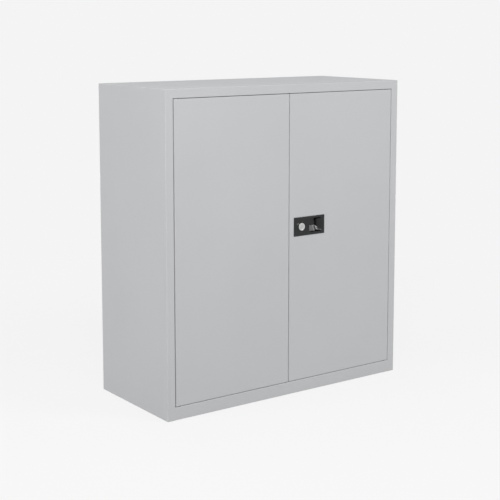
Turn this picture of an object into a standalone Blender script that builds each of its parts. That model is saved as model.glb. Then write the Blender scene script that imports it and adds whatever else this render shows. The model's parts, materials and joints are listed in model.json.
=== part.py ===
"""Stationery cupboard of folded sheet steel with two hinged doors.

World metres, +Z up, the front faces -Y, origin at the middle of the footprint on the floor.
Every sheet part is one folded surface thickened to its gauge, so that a size moves all it carries.
"""

import math

import bmesh
import bpy
from mathutils import Vector

MM = 0.001

# Outside sizes
CUPBOARD_WIDTH = 914.0 * MM
CUPBOARD_DEPTH = 400.0 * MM
CUPBOARD_HEIGHT = 1000.0 * MM

# Sheet gauges and general clearances
BODY_SHEET = 0.9 * MM
DOOR_SHEET = 0.9 * MM
SHELF_SHEET = 0.8 * MM
UPRIGHT_SHEET = 1.2 * MM
STOP_SHEET = 1.2 * MM
CLIP_SHEET = 1.5 * MM
INSIDE_BEND_RADIUS = 0.7 * MM
SEAT_GAP = 0.3 * MM
WELD_DISTANCE = 0.01 * MM
CUTTER_REACH = 2.0 * MM
BEND_SEGMENTS = 2
ROUND_SEGMENTS = 24

# Front frame
STILE_WIDTH = 27.0 * MM
STILE_RETURN = 22.0 * MM
STILE_LIP_SHARE = 0.55
TOP_RAIL_HEIGHT = 28.5 * MM
TOP_RAIL_RETURN = 32.0 * MM
TOP_RAIL_LIP = 12.0 * MM
PLINTH_HEIGHT = 40.0 * MM
PLINTH_FOOT = 20.0 * MM
REAR_FLANGE = 18.0 * MM
FLOOR_REAR_FLANGE = 25.0 * MM
RELIEF_WIDTH = 0.6 * MM
RELIEF_EXTRA_DEPTH = 0.6 * MM

# Doors
DOOR_GAP = 2.5 * MM
MEETING_GAP = 2.0 * MM
DOOR_DEPTH = 20.0 * MM
DOOR_RETURN = 15.0 * MM
DOOR_STIFFENER_WIDTH = 40.0 * MM
DOOR_STIFFENER_FOOT = 12.0 * MM
MEETING_STRIP_SHEET = 1.2 * MM
MEETING_STRIP_LAP = 13.0 * MM
MEETING_STRIP_END_INSET = 12.0 * MM

# Hinges
PIVOT_FROM_DOOR_EDGE = 14.0 * MM
PIVOT_FROM_DOOR_FACE = 8.0 * MM
PIN_RADIUS = 4.0 * MM
PIN_HOLE_CLEARANCE = 0.3 * MM
PIN_COLLAR_RADIUS = 6.5 * MM
PIN_COLLAR_THICKNESS = 2.0 * MM
PIN_REACH = 5.0 * MM
BUSH_BORE_CLEARANCE = 0.12 * MM
BUSH_WALL = 1.4 * MM
BUSH_FLANGE_WALL = 3.4 * MM
BUSH_TAIL = 1.5 * MM
HINGE_BRACKET_LENGTH = 42.0 * MM
HINGE_BRACKET_THICKNESS = 2.0 * MM

# Door stops and buffers
BUFFER_SPACE = 4.0 * MM
BUFFER_RADIUS = 4.5 * MM
BUFFER_FROM_MIDDLE = 100.0 * MM
STOP_HINGE_CLEARANCE = 34.0 * MM
STOP_LEG_HEIGHT = 12.5 * MM
STOP_LEG_DEPTH = 8.0 * MM

# Slotted uprights
UPRIGHT_DEPTH = 14.8 * MM
UPRIGHT_WIDTH = 30.0 * MM
FRONT_UPRIGHT_SETBACK = 65.0 * MM
REAR_UPRIGHT_SETBACK = 45.0 * MM
UPRIGHT_TOP_CLEARANCE = 18.0 * MM
SLOT_PITCH = 32.0 * MM
SLOT_WIDTH = 12.0 * MM
SLOT_HEIGHT = 3.0 * MM
SLOT_END_MARGIN = 40.0 * MM

# Shelf and its clips
SHELF_SLOT_SHARE = 0.5
CLIP_WIDTH = 11.0 * MM
CLIP_HOOK = 5.0 * MM
CLIP_DROP = 14.0 * MM
CLIP_LEDGE = 19.0 * MM
SHELF_SIDE_CLEARANCE = 0.7 * MM
SHELF_DEPTH = 25.0 * MM
SHELF_RETURN = 12.0 * MM
SHELF_FRONT_SETBACK = 35.0 * MM
SHELF_REAR_CLEARANCE = 6.0 * MM
SHELF_STIFFENER_WIDTH = 50.0 * MM
SHELF_STIFFENER_FOOT = 12.0 * MM
SHELF_STIFFENER_DEPTH = 15.0 * MM

# Recessed handle
HANDLE_WIDTH = 122.9 * MM
HANDLE_HEIGHT = 59.0 * MM
HANDLE_FROM_MIDDLE = 18.5 * MM
HANDLE_CENTRE_HEIGHT = 545.0 * MM
HANDLE_PLATE = 1.9 * MM
HANDLE_BEVEL_WIDTH = 3.7 * MM
HANDLE_BEVEL_DEPTH = 1.25 * MM
HANDLE_LAP = 3.6 * MM
RECESS_FROM_PLATE_EDGE = 5.9 * MM
RECESS_WIDTH = 54.7 * MM
RECESS_HEIGHT = 47.0 * MM
RECESS_DEPTH = 24.5 * MM
RECESS_FAR_WALL_SLOPE = 10.0 * MM
RECESS_NEAR_WALL_SLOPE = 2.5 * MM
RECESS_ROOF_SLOPE = 2.0 * MM
RECESS_CORNER_RADIUS = 8.0 * MM
RECESS_CORNER_SEGMENTS = 4
RECESS_WALL = 1.8 * MM
CUTOUT_CLEARANCE = 0.5 * MM
HOOK_REACH = 2.6 * MM
HOOK_HEIGHT = 20.0 * MM
HOOK_THICKNESS = 1.8 * MM
HANDLE_POST_RADIUS = 4.0 * MM
HANDLE_POST_FROM_EDGE = 10.5 * MM
HANDLE_POST_SPREAD = 34.0 * MM
CLAMP_BAR_WIDTH = 10.0 * MM
CLAMP_BAR_THICKNESS = 1.5 * MM
CLAMP_BAR_LAP = 9.0 * MM
SCREW_RADIUS = 1.5 * MM
SCREW_CLEARANCE = 0.25 * MM
SCREW_REACH = 2.2 * MM
SCREW_HEAD_RADIUS = 3.4 * MM
SCREW_HEAD_HEIGHT = 1.8 * MM

# Lock
LOCK_FROM_MIDDLE = 48.7 * MM
LOCK_BELOW_HANDLE_CENTRE = 0.5 * MM
LOCK_FACE_RADIUS = 12.0 * MM
LOCK_FACE_THICKNESS = 1.5 * MM
LOCK_CASE_RADIUS = 9.5 * MM
LOCK_CASE_CLEARANCE = 0.3 * MM
LOCK_BARREL_RADIUS = 6.0 * MM
LOCK_BARREL_CLEARANCE = 0.3 * MM
LOCK_RIM_WALL = 3.9 * MM
LOCK_RIM_HEIGHT = 0.8 * MM
LOCK_BOSS_RADIUS = 13.0 * MM
LOCK_BOSS_DEPTH = 3.3 * MM
LOCK_NUT_RADIUS = 13.0 * MM
LOCK_NUT_THICKNESS = 3.5 * MM
NUT_SIDES = 6
KEYWAY_WIDTH = 1.6 * MM
KEYWAY_HEIGHT = 6.4 * MM
KEYWAY_DEPTH = 3.0 * MM
CAM_THICKNESS = 2.5 * MM
CAM_ARM = 13.0 * MM
CAM_END_RADIUS = 5.0 * MM
CAM_PIN_RADIUS = 2.5 * MM
CAM_PIN_END = 0.7 * MM
CAM_TO_ROD = 0.5 * MM
CAM_SCREW_RADIUS = 1.9 * MM
CAM_SCREW_REACH = 2.8 * MM
CAM_HALF_TURN = math.radians(45.0)

# Locking rods and their guides
ROD_WIDTH = 14.0 * MM
ROD_THICKNESS = 3.0 * MM
ROD_FROM_DOOR_REAR = 3.2 * MM
ROD_SLOT_SIDE_PLAY = 0.4 * MM
ROD_SLOT_HEIGHT_PLAY = 0.55 * MM
ROD_HEAD_END = 5.0 * MM
ROD_TIP_SETBACK = 1.0 * MM
ROD_HOLE_CLEARANCE = 0.8 * MM
GUIDE_CLEARANCE = 0.4 * MM
GUIDE_WALL = 3.6 * MM
GUIDE_REAR_WALL = 1.3 * MM
GUIDE_HEIGHT = 14.0 * MM
GUIDE_SHARES = (0.24, 0.92)

# Places that follow from the sizes above
SIDE_X = CUPBOARD_WIDTH / 2
FRONT_Y = -CUPBOARD_DEPTH / 2
REAR_Y = CUPBOARD_DEPTH / 2
OPENING_X = SIDE_X - STILE_WIDTH
OPENING_TOP = CUPBOARD_HEIGHT - TOP_RAIL_HEIGHT
SHEET_TOP = CUPBOARD_HEIGHT - BODY_SHEET - SEAT_GAP
INSIDE_X = SIDE_X - BODY_SHEET - SEAT_GAP
RAIL_X = OPENING_X - SEAT_GAP
BACK_REAR_Y = REAR_Y - BODY_SHEET - SEAT_GAP
BACK_FRONT_Y = BACK_REAR_Y - BODY_SHEET

DOOR_EDGE_X = OPENING_X - DOOR_GAP
DOOR_MEETING_X = MEETING_GAP / 2
DOOR_BOTTOM = PLINTH_HEIGHT + DOOR_GAP
DOOR_TOP = OPENING_TOP - DOOR_GAP
DOOR_REAR_Y = FRONT_Y + DOOR_DEPTH
DOOR_INNER_Y = FRONT_Y + DOOR_SHEET
DOOR_RETURN_INNER_Y = DOOR_REAR_Y - DOOR_SHEET
DOOR_MIDDLE_X = (DOOR_EDGE_X + DOOR_MEETING_X) / 2
PIVOT_X = DOOR_EDGE_X - PIVOT_FROM_DOOR_EDGE
PIVOT_Y = FRONT_Y + PIVOT_FROM_DOOR_FACE

STOP_FACE_Y = DOOR_REAR_Y + BUFFER_SPACE
STOP_HALF_LENGTH = PIVOT_X - STOP_HINGE_CLEARANCE

UPRIGHT_FACE_X = INSIDE_X - UPRIGHT_DEPTH
UPRIGHT_BOTTOM = PLINTH_HEIGHT + SEAT_GAP
UPRIGHT_TOP = SHEET_TOP - UPRIGHT_TOP_CLEARANCE
FIRST_SLOT = UPRIGHT_BOTTOM + SLOT_END_MARGIN
SLOT_COUNT = int((UPRIGHT_TOP - SLOT_END_MARGIN - FIRST_SLOT) / SLOT_PITCH) + 1
SHELF_SLOT = FIRST_SLOT + SLOT_PITCH * int(SLOT_COUNT * SHELF_SLOT_SHARE)
CLIP_FACE_X = UPRIGHT_FACE_X - SEAT_GAP - CLIP_SHEET
CLIP_THROAT_TOP = SHELF_SLOT - SLOT_HEIGHT / 2 + SEAT_GAP + CLIP_SHEET
LEDGE_TOP = CLIP_THROAT_TOP - CLIP_DROP
SHELF_BOTTOM = LEDGE_TOP + SEAT_GAP
SHELF_TOP = SHELF_BOTTOM + SHELF_DEPTH
SHELF_X = CLIP_FACE_X - SHELF_SIDE_CLEARANCE
SHELF_FRONT_Y = FRONT_Y + SHELF_FRONT_SETBACK
SHELF_REAR_Y = BACK_FRONT_Y - SHELF_REAR_CLEARANCE

HANDLE_LEFT = HANDLE_FROM_MIDDLE
HANDLE_RIGHT = HANDLE_FROM_MIDDLE + HANDLE_WIDTH
HANDLE_BOTTOM = HANDLE_CENTRE_HEIGHT - HANDLE_HEIGHT / 2
HANDLE_TOP = HANDLE_CENTRE_HEIGHT + HANDLE_HEIGHT / 2
PLATE_REAR_Y = FRONT_Y - SEAT_GAP
PLATE_FRONT_Y = PLATE_REAR_Y - HANDLE_PLATE
RECESS_RIGHT = HANDLE_RIGHT - RECESS_FROM_PLATE_EDGE
RECESS_LEFT = RECESS_RIGHT - RECESS_WIDTH
RECESS_BOTTOM = HANDLE_CENTRE_HEIGHT - RECESS_HEIGHT / 2
RECESS_TOP = HANDLE_CENTRE_HEIGHT + RECESS_HEIGHT / 2
RECESS_BACK_Y = PLATE_FRONT_Y + RECESS_DEPTH
CUP_RIGHT = RECESS_RIGHT + RECESS_WALL
CUP_LEFT = RECESS_LEFT - RECESS_WALL
CUP_BOTTOM = RECESS_BOTTOM - RECESS_WALL
CUP_TOP = RECESS_TOP + RECESS_WALL
CUTOUT_LEFT = HANDLE_LEFT + HANDLE_LAP
CUTOUT_RIGHT = CUP_RIGHT + CUTOUT_CLEARANCE
CUTOUT_BOTTOM = CUP_BOTTOM - CUTOUT_CLEARANCE
CUTOUT_TOP = CUP_TOP + CUTOUT_CLEARANCE
POST_X = HANDLE_LEFT + HANDLE_POST_FROM_EDGE
POST_END_Y = DOOR_INNER_Y
CLAMP_FRONT_Y = DOOR_INNER_Y + SEAT_GAP
CLAMP_REAR_Y = CLAMP_FRONT_Y + CLAMP_BAR_THICKNESS

LOCK_X = LOCK_FROM_MIDDLE
LOCK_Z = HANDLE_CENTRE_HEIGHT - LOCK_BELOW_HANDLE_CENTRE
ROD_REAR_Y = DOOR_REAR_Y - ROD_FROM_DOOR_REAR
ROD_FRONT_Y = ROD_REAR_Y - ROD_THICKNESS
CAM_REAR_Y = ROD_FRONT_Y - CAM_TO_ROD
CAM_FRONT_Y = CAM_REAR_Y - CAM_THICKNESS
BARREL_REAR_Y = CAM_FRONT_Y - SEAT_GAP
CASE_REAR_Y = BARREL_REAR_Y - SEAT_GAP
LOCK_FACE_REAR_Y = PLATE_FRONT_Y - SEAT_GAP
LOCK_FACE_Y = LOCK_FACE_REAR_Y - LOCK_FACE_THICKNESS
BOSS_REAR_Y = PLATE_REAR_Y + LOCK_BOSS_DEPTH
NUT_FRONT_Y = BOSS_REAR_Y + SEAT_GAP
CAM_PIN_SIDE = CAM_ARM * math.cos(CAM_HALF_TURN)
CAM_PIN_RISE = CAM_ARM * math.sin(CAM_HALF_TURN)
ROD_OFFSET = (CAM_ARM + CAM_PIN_SIDE) / 2
ROD_SLOT_HALF = (CAM_ARM - CAM_PIN_SIDE) / 2 + CAM_PIN_RADIUS + ROD_SLOT_SIDE_PLAY
ROD_SLOT_HALF_HEIGHT = CAM_PIN_RADIUS + ROD_SLOT_HEIGHT_PLAY
ROD_MIDDLE_Y = (ROD_FRONT_Y + ROD_REAR_Y) / 2
UPPER_ROD_X = LOCK_X - ROD_OFFSET
LOWER_ROD_X = LOCK_X + ROD_OFFSET
UPPER_ROD_PIN_Z = LOCK_Z - CAM_PIN_RISE
LOWER_ROD_PIN_Z = LOCK_Z + CAM_PIN_RISE

MATERIALS = {
    "grey_powder_coat": ((0.53, 0.535, 0.545), 0.42, 0.0),
    "zinc_plated_steel": ((0.62, 0.63, 0.64), 0.32, 1.0),
    "black_moulding": ((0.022, 0.023, 0.025), 0.38, 0.0),
    "nickel_plate": ((0.72, 0.72, 0.71), 0.22, 1.0),
    "white_nylon": ((0.78, 0.77, 0.73), 0.45, 0.0),
    "black_rubber": ((0.025, 0.025, 0.025), 0.85, 0.0),
}


def clear_scene():
    for obj in list(bpy.data.objects):
        bpy.data.objects.remove(obj, do_unlink=True)


def material(name):
    """One Principled material for each name in MATERIALS."""
    found = bpy.data.materials.get(name)
    if found:
        return found
    colour, roughness, metallic = MATERIALS[name]
    made = bpy.data.materials.new(name)
    made.use_nodes = True
    shader = made.node_tree.nodes["Principled BSDF"]
    shader.inputs["Base Color"].default_value = (*colour, 1.0)
    shader.inputs["Roughness"].default_value = roughness
    shader.inputs["Metallic"].default_value = metallic
    made.diffuse_color = (*colour, 1.0)
    return made


def new_object(name, faces, slot, pivot=(0.0, 0.0, 0.0), smooth=False, mirrored=False):
    """A mesh object from corner lists, its origin at pivot. Mirrored turns it over to the left side."""
    build = bmesh.new()
    for corners in faces:
        if mirrored:
            corners = [(-x, y, z) for x, y, z in reversed(corners)]
        build.faces.new([build.verts.new(Vector(c) - Vector(pivot)) for c in corners])
    bmesh.ops.remove_doubles(build, verts=build.verts, dist=WELD_DISTANCE)
    mesh = bpy.data.meshes.new(name)
    build.to_mesh(mesh)
    build.free()
    if smooth:
        mesh.shade_smooth()
        mesh.set_sharp_from_angle(angle=math.radians(40.0))
    if slot:
        mesh.materials.append(material(slot))
    obj = bpy.data.objects.new(name, mesh)
    obj.location = pivot
    bpy.context.scene.collection.objects.link(obj)
    return obj


def along_z(path, low, high):
    """Faces of a plan section (x, y) carried up. Their outsides lie to the right of the path."""
    return [
        [(*a, low), (*b, low), (*b, high), (*a, high)] for a, b in zip(path, path[1:])
    ]


def along_x(path, low, high):
    """Faces of a side section (y, z) carried across. Their outsides lie to the right of the path."""
    return [
        [(low, *a), (low, *b), (high, *b), (high, *a)] for a, b in zip(path, path[1:])
    ]


def along_y(path, low, high):
    """Faces of a front section (x, z) carried back. Their outsides lie to the right of the path."""
    return [
        [(a[0], high, a[1]), (b[0], high, b[1]), (b[0], low, b[1]), (a[0], low, a[1])]
        for a, b in zip(path, path[1:])
    ]


def level_face(left, front, right, rear, height):
    """A flat face that looks up."""
    return [(left, front, height), (right, front, height), (right, rear, height), (left, rear, height)]


def pan_faces(rings):
    """A tray: the first ring of four corners is closed, and each later ring hangs on the one before."""
    faces = [list(rings[0])]
    for near, far in zip(rings, rings[1:]):
        for i in range(len(near)):
            j = (i + 1) % len(near)
            faces.append([near[i], far[i], far[j], near[j]])
    return faces


def box_faces(low, high):
    """The six faces of an upright block."""
    bottom = [(low[0], low[1]), (high[0], low[1]), (high[0], high[1]), (low[0], high[1])]
    floor = [(x, y, low[2]) for x, y in bottom]
    roof = [(x, y, high[2]) for x, y in bottom]
    faces = [floor[::-1], roof]
    for i in range(4):
        j = (i + 1) % 4
        faces.append([floor[i], floor[j], roof[j], roof[i]])
    return faces


def prism_faces(outline, low, high, place):
    """A straight prism over an outline that turns anticlockwise where place maps it."""
    near = [place(a, b, low) for a, b in outline]
    far = [place(a, b, high) for a, b in outline]
    faces = [near[::-1], far]
    for i in range(len(outline)):
        j = (i + 1) % len(outline)
        faces.append([near[i], near[j], far[j], far[i]])
    return faces


def collar_faces(outer, inner, low, high, place):
    """A straight tube between two outlines with the same count of corners."""
    faces = []
    for i in range(len(outer)):
        j = (i + 1) % len(outer)
        o, p, q, r = outer[i], outer[j], inner[i], inner[j]
        faces.append([place(*o, low), place(*p, low), place(*p, high), place(*o, high)])
        faces.append([place(*r, low), place(*q, low), place(*q, high), place(*r, high)])
        faces.append([place(*o, high), place(*p, high), place(*r, high), place(*q, high)])
        faces.append([place(*p, low), place(*o, low), place(*q, low), place(*r, low)])
    return faces


def circle(radius, segments=ROUND_SEGMENTS, centre=(0.0, 0.0), turn=0.0):
    """An outline of a circle, anticlockwise."""
    step = math.tau / segments
    return [
        (centre[0] + radius * math.cos(turn + step * i), centre[1] + radius * math.sin(turn + step * i))
        for i in range(segments)
    ]


def turned_faces(profile, place, closed=False, segments=ROUND_SEGMENTS):
    """A solid of revolution: profile holds (radius, height) pairs, upward on the outside.

    A closed profile makes a ring with a bore. An open one starts and ends on the axis.
    """
    faces = []
    pairs = list(zip(profile, profile[1:] + profile[:1])) if closed else list(zip(profile, profile[1:]))
    step = math.tau / segments
    for i in range(segments):
        near = (math.cos(step * i), math.sin(step * i))
        far = (math.cos(step * ((i + 1) % segments)), math.sin(step * ((i + 1) % segments)))
        for (r, h), (s, k) in pairs:
            corners = []
            if r > 0:
                corners += [(r * near[0], r * near[1], h), (r * far[0], r * far[1], h)]
            else:
                corners += [(0.0, 0.0, h)]
            if s > 0:
                corners += [(s * far[0], s * far[1], k), (s * near[0], s * near[1], k)]
            else:
                corners += [(0.0, 0.0, k)]
            if len(corners) > 2:
                faces.append([place(*c) for c in corners])
    return faces


def upright_at(x, y):
    """Places (a, b, height) with its axis along Z at x, y."""
    return lambda a, b, h: (x + a, y + b, h)


def rearward_at(x, z):
    """Places (a, b, height) with its axis along +Y at x, z: height is y."""
    return lambda a, b, h: (x - a, h, z + b)


def thicken(obj, thickness, bend=True):
    """Rounds the folds and gives the sheet its gauge, on the side away from its face."""
    if bend:
        folds = obj.modifiers.new("folds", "BEVEL")
        folds.limit_method = "ANGLE"
        folds.angle_limit = math.radians(30.0)
        folds.width = thickness + INSIDE_BEND_RADIUS
        folds.segments = BEND_SEGMENTS
        folds.use_clamp_overlap = True
    gauge = obj.modifiers.new("gauge", "SOLIDIFY")
    gauge.thickness = thickness
    gauge.offset = -1.0
    gauge.use_even_offset = True
    gauge.use_quality_normals = True
    return obj


def combine(obj, name, faces, operation):
    """Adds or cuts a helper solid with an exact Boolean."""
    helper = new_object(name, faces, None)
    helper.hide_render = True
    helper.display_type = "WIRE"
    step = obj.modifiers.new(name, "BOOLEAN")
    step.operation = operation
    step.solver = "EXACT"
    step.object = helper
    return helper


def hat_path(low, high, foot, top, crown):
    """A top-hat section from low to high: feet at the level top, crown at the level crown."""
    return [
        (low - foot, top),
        (low, top),
        (low, crown),
        (high, crown),
        (high, top),
        (high + foot, top),
    ]


def side_panel(side):
    """Side, front stile and rear flange, folded from one sheet."""
    lip = OPENING_X + STILE_WIDTH * STILE_LIP_SHARE
    return_y = FRONT_Y + STILE_RETURN
    path = [
        (lip, return_y),
        (OPENING_X, return_y),
        (OPENING_X, FRONT_Y),
        (SIDE_X, FRONT_Y),
        (SIDE_X, REAR_Y),
        (SIDE_X - REAR_FLANGE, REAR_Y),
    ]
    faces = along_z(path, 0.0, SHEET_TOP)
    panel = new_object(side + "_side_panel", faces, "grey_powder_coat", mirrored=side == "left")
    return thicken(panel, BODY_SHEET)


def both_sides(boxes):
    """Level faces on the right, and the same ones mirrored to the left."""
    return boxes + [(-right, front, -left, rear) for left, front, right, rear in boxes]


def top_panel():
    """Top sheet with the front rail and the rear flange folded down, and relief slits at the fold ends."""
    relief = BODY_SHEET + INSIDE_BEND_RADIUS + RELIEF_EXTRA_DEPTH
    rear_x = SIDE_X - REAR_FLANGE - SEAT_GAP - RELIEF_WIDTH
    front_inner = FRONT_Y + relief
    rear_inner = REAR_Y - relief
    rail_slit = RAIL_X + RELIEF_WIDTH
    rear_slit = rear_x + RELIEF_WIDTH
    columns = [RAIL_X, rail_slit, rear_x, rear_slit, SIDE_X]
    boxes = [(a, front_inner, b, rear_inner) for a, b in zip(columns, columns[1:])]
    boxes += [(a, FRONT_Y, b, front_inner) for a, b in zip(columns[1:], columns[2:])]
    boxes += [(a, rear_inner, b, REAR_Y) for a, b in zip(columns[:2], columns[1:3])]
    boxes += [(rear_slit, rear_inner, SIDE_X, REAR_Y)]
    faces = [level_face(*box, CUPBOARD_HEIGHT) for box in both_sides(boxes)]
    rows = [FRONT_Y, front_inner, rear_inner, REAR_Y]
    for front, rear in zip(rows, rows[1:]):
        faces.append(level_face(-RAIL_X, front, RAIL_X, rear, CUPBOARD_HEIGHT))
    rail = [
        (FRONT_Y, CUPBOARD_HEIGHT),
        (FRONT_Y, OPENING_TOP),
        (FRONT_Y + TOP_RAIL_RETURN, OPENING_TOP),
        (FRONT_Y + TOP_RAIL_RETURN, OPENING_TOP + TOP_RAIL_LIP),
    ]
    faces += along_x(rail, -RAIL_X, RAIL_X)
    flange = [(REAR_Y, CUPBOARD_HEIGHT - REAR_FLANGE), (REAR_Y, CUPBOARD_HEIGHT)]
    stations = [-rear_x, -rail_slit, -RAIL_X, RAIL_X, rail_slit, rear_x]
    for a, b in zip(stations, stations[1:]):
        faces += along_x(flange, a, b)
    panel = thicken(new_object("top_panel", faces, "grey_powder_coat"), BODY_SHEET)
    combine(panel, "top_panel_holes", frame_holes(OPENING_TOP, UPPER_ROD_X), "DIFFERENCE")
    return panel


def frame_holes(level, rod_x):
    """Two hinge pin holes and one rod hole through a level sheet."""
    low = level - CUTTER_REACH
    high = level + CUTTER_REACH
    faces = rod_hole(rod_x, low, high)
    for x in (-PIVOT_X, PIVOT_X):
        outline = circle(PIN_RADIUS + PIN_HOLE_CLEARANCE)
        faces += prism_faces(outline, low, high, upright_at(x, PIVOT_Y))
    return faces


def rod_hole(rod_x, low, high):
    """A block the size of a rod and its clearance."""
    half = ROD_WIDTH / 2 + ROD_HOLE_CLEARANCE
    return box_faces(
        (rod_x - half, ROD_FRONT_Y - ROD_HOLE_CLEARANCE, low),
        (rod_x + half, ROD_REAR_Y + ROD_HOLE_CLEARANCE, high),
    )


def base_panel():
    """Plinth and inside floor from one sheet, notched round the stiles."""
    floor_rear = BACK_FRONT_Y - SEAT_GAP
    notch_y = FRONT_Y + STILE_RETURN + SEAT_GAP
    boxes = both_sides([(RAIL_X, notch_y, INSIDE_X, floor_rear)])
    boxes += [(-RAIL_X, FRONT_Y, RAIL_X, notch_y), (-RAIL_X, notch_y, RAIL_X, floor_rear)]
    faces = [level_face(*box, PLINTH_HEIGHT) for box in boxes]
    plinth = [(FRONT_Y, PLINTH_HEIGHT), (FRONT_Y, 0.0), (FRONT_Y + PLINTH_FOOT, 0.0)]
    faces += along_x(plinth, -RAIL_X, RAIL_X)
    flange = [(floor_rear, PLINTH_HEIGHT - FLOOR_REAR_FLANGE), (floor_rear, PLINTH_HEIGHT)]
    stations = [-INSIDE_X, -RAIL_X, RAIL_X, INSIDE_X]
    for a, b in zip(stations, stations[1:]):
        faces += along_x(flange, a, b)
    panel = thicken(new_object("base_panel", faces, "grey_powder_coat"), BODY_SHEET)
    combine(panel, "base_panel_holes", frame_holes(PLINTH_HEIGHT, LOWER_ROD_X), "DIFFERENCE")
    return panel


def back_panel():
    """Plain sheet welded inside the rear flanges."""
    faces = box_faces((-INSIDE_X, BACK_FRONT_Y, 0.0), (INSIDE_X, BACK_REAR_Y, SHEET_TOP))
    return new_object("back_panel", faces, "grey_powder_coat")


def upright(side, end):
    """Channel with a row of slots for the shelf clips."""
    middle = upright_middle(end)
    front = middle - UPRIGHT_WIDTH / 2
    rear = middle + UPRIGHT_WIDTH / 2
    path = [(INSIDE_X, rear), (UPRIGHT_FACE_X, rear), (UPRIGHT_FACE_X, front), (INSIDE_X, front)]
    faces = along_z(path, UPRIGHT_BOTTOM, UPRIGHT_TOP)
    name = f"{end}_{side}_upright"
    sign = -1.0 if side == "left" else 1.0
    obj = new_object(name, faces, "grey_powder_coat", mirrored=side == "left")
    thicken(obj, UPRIGHT_SHEET)
    slots = []
    for i in range(SLOT_COUNT):
        height = FIRST_SLOT + SLOT_PITCH * i
        near = sign * (UPRIGHT_FACE_X - CUTTER_REACH)
        far = sign * (UPRIGHT_FACE_X + UPRIGHT_SHEET + CUTTER_REACH)
        slots += box_faces(
            (min(near, far), middle - SLOT_WIDTH / 2, height - SLOT_HEIGHT / 2),
            (max(near, far), middle + SLOT_WIDTH / 2, height + SLOT_HEIGHT / 2),
        )
    combine(obj, name + "_slots", slots, "DIFFERENCE")
    return obj


def upright_middle(end):
    """The upright's centre line in depth."""
    return FRONT_Y + FRONT_UPRIGHT_SETBACK if end == "front" else REAR_Y - REAR_UPRIGHT_SETBACK


def shelf_clip(side, end):
    """Bent clip: a hook behind the slot, a leg down the upright, and a ledge for the shelf."""
    hook_x = UPRIGHT_FACE_X + UPRIGHT_SHEET + SEAT_GAP
    path = [
        (hook_x, CLIP_THROAT_TOP + CLIP_HOOK),
        (hook_x, CLIP_THROAT_TOP),
        (CLIP_FACE_X, CLIP_THROAT_TOP),
        (CLIP_FACE_X, LEDGE_TOP),
        (CLIP_FACE_X - CLIP_LEDGE, LEDGE_TOP),
    ]
    middle = upright_middle(end)
    faces = along_y(path, middle - CLIP_WIDTH / 2, middle + CLIP_WIDTH / 2)
    clip = new_object(f"{end}_{side}_shelf_clip", faces, "zinc_plated_steel", mirrored=side == "left")
    return thicken(clip, CLIP_SHEET, bend=False)


def door_stops():
    """Two short angles behind the doors, one under the top rail and one on the floor."""
    top = OPENING_TOP - SEAT_GAP
    upper = [
        (STOP_FACE_Y + STOP_LEG_DEPTH, top),
        (STOP_FACE_Y, top),
        (STOP_FACE_Y, top - STOP_LEG_HEIGHT),
    ]
    low = PLINTH_HEIGHT + SEAT_GAP
    lower = [
        (STOP_FACE_Y, low + STOP_LEG_HEIGHT),
        (STOP_FACE_Y, low),
        (STOP_FACE_Y + STOP_LEG_DEPTH, low),
    ]
    for name, path in (("upper_door_stop", upper), ("lower_door_stop", lower)):
        faces = along_x(path, -STOP_HALF_LENGTH, STOP_HALF_LENGTH)
        thicken(new_object(name, faces, "grey_powder_coat"), STOP_SHEET)


def door_buffers():
    """Rubber buttons on the stops."""
    low = PLINTH_HEIGHT + SEAT_GAP + STOP_LEG_HEIGHT - BUFFER_RADIUS - SEAT_GAP
    high = OPENING_TOP - SEAT_GAP - STOP_LEG_HEIGHT + BUFFER_RADIUS + SEAT_GAP
    for level, height in (("lower", low), ("upper", high)):
        for side, x in (("left", -BUFFER_FROM_MIDDLE), ("right", BUFFER_FROM_MIDDLE)):
            faces = prism_faces(
                circle(BUFFER_RADIUS, 16),
                DOOR_REAR_Y + SEAT_GAP,
                STOP_FACE_Y - SEAT_GAP,
                rearward_at(x, height),
            )
            new_object(f"{level}_{side}_buffer", faces, "black_rubber", smooth=True)


def hinge_pins():
    """Collared pins that stand through the floor and hang through the top rail."""
    under = PLINTH_HEIGHT - BODY_SHEET - SEAT_GAP
    over = OPENING_TOP + BODY_SHEET + SEAT_GAP
    lower = [
        (0.0, under - PIN_COLLAR_THICKNESS),
        (PIN_COLLAR_RADIUS, under - PIN_COLLAR_THICKNESS),
        (PIN_COLLAR_RADIUS, under),
        (PIN_RADIUS, under),
        (PIN_RADIUS, DOOR_BOTTOM + PIN_REACH),
        (0.0, DOOR_BOTTOM + PIN_REACH),
    ]
    upper = [
        (0.0, DOOR_TOP - PIN_REACH),
        (PIN_RADIUS, DOOR_TOP - PIN_REACH),
        (PIN_RADIUS, over),
        (PIN_COLLAR_RADIUS, over),
        (PIN_COLLAR_RADIUS, over + PIN_COLLAR_THICKNESS),
        (0.0, over + PIN_COLLAR_THICKNESS),
    ]
    for level, profile in (("lower", lower), ("upper", upper)):
        for side, x in (("left", -PIVOT_X), ("right", PIVOT_X)):
            faces = turned_faces(profile, upright_at(x, PIVOT_Y))
            new_object(f"{level}_{side}_hinge_pin", faces, "zinc_plated_steel", smooth=True)


def door_pivot(side):
    """A point on the hinge axis, at the bottom of the door."""
    return (-PIVOT_X if side == "left" else PIVOT_X, PIVOT_Y, DOOR_BOTTOM)


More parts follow.
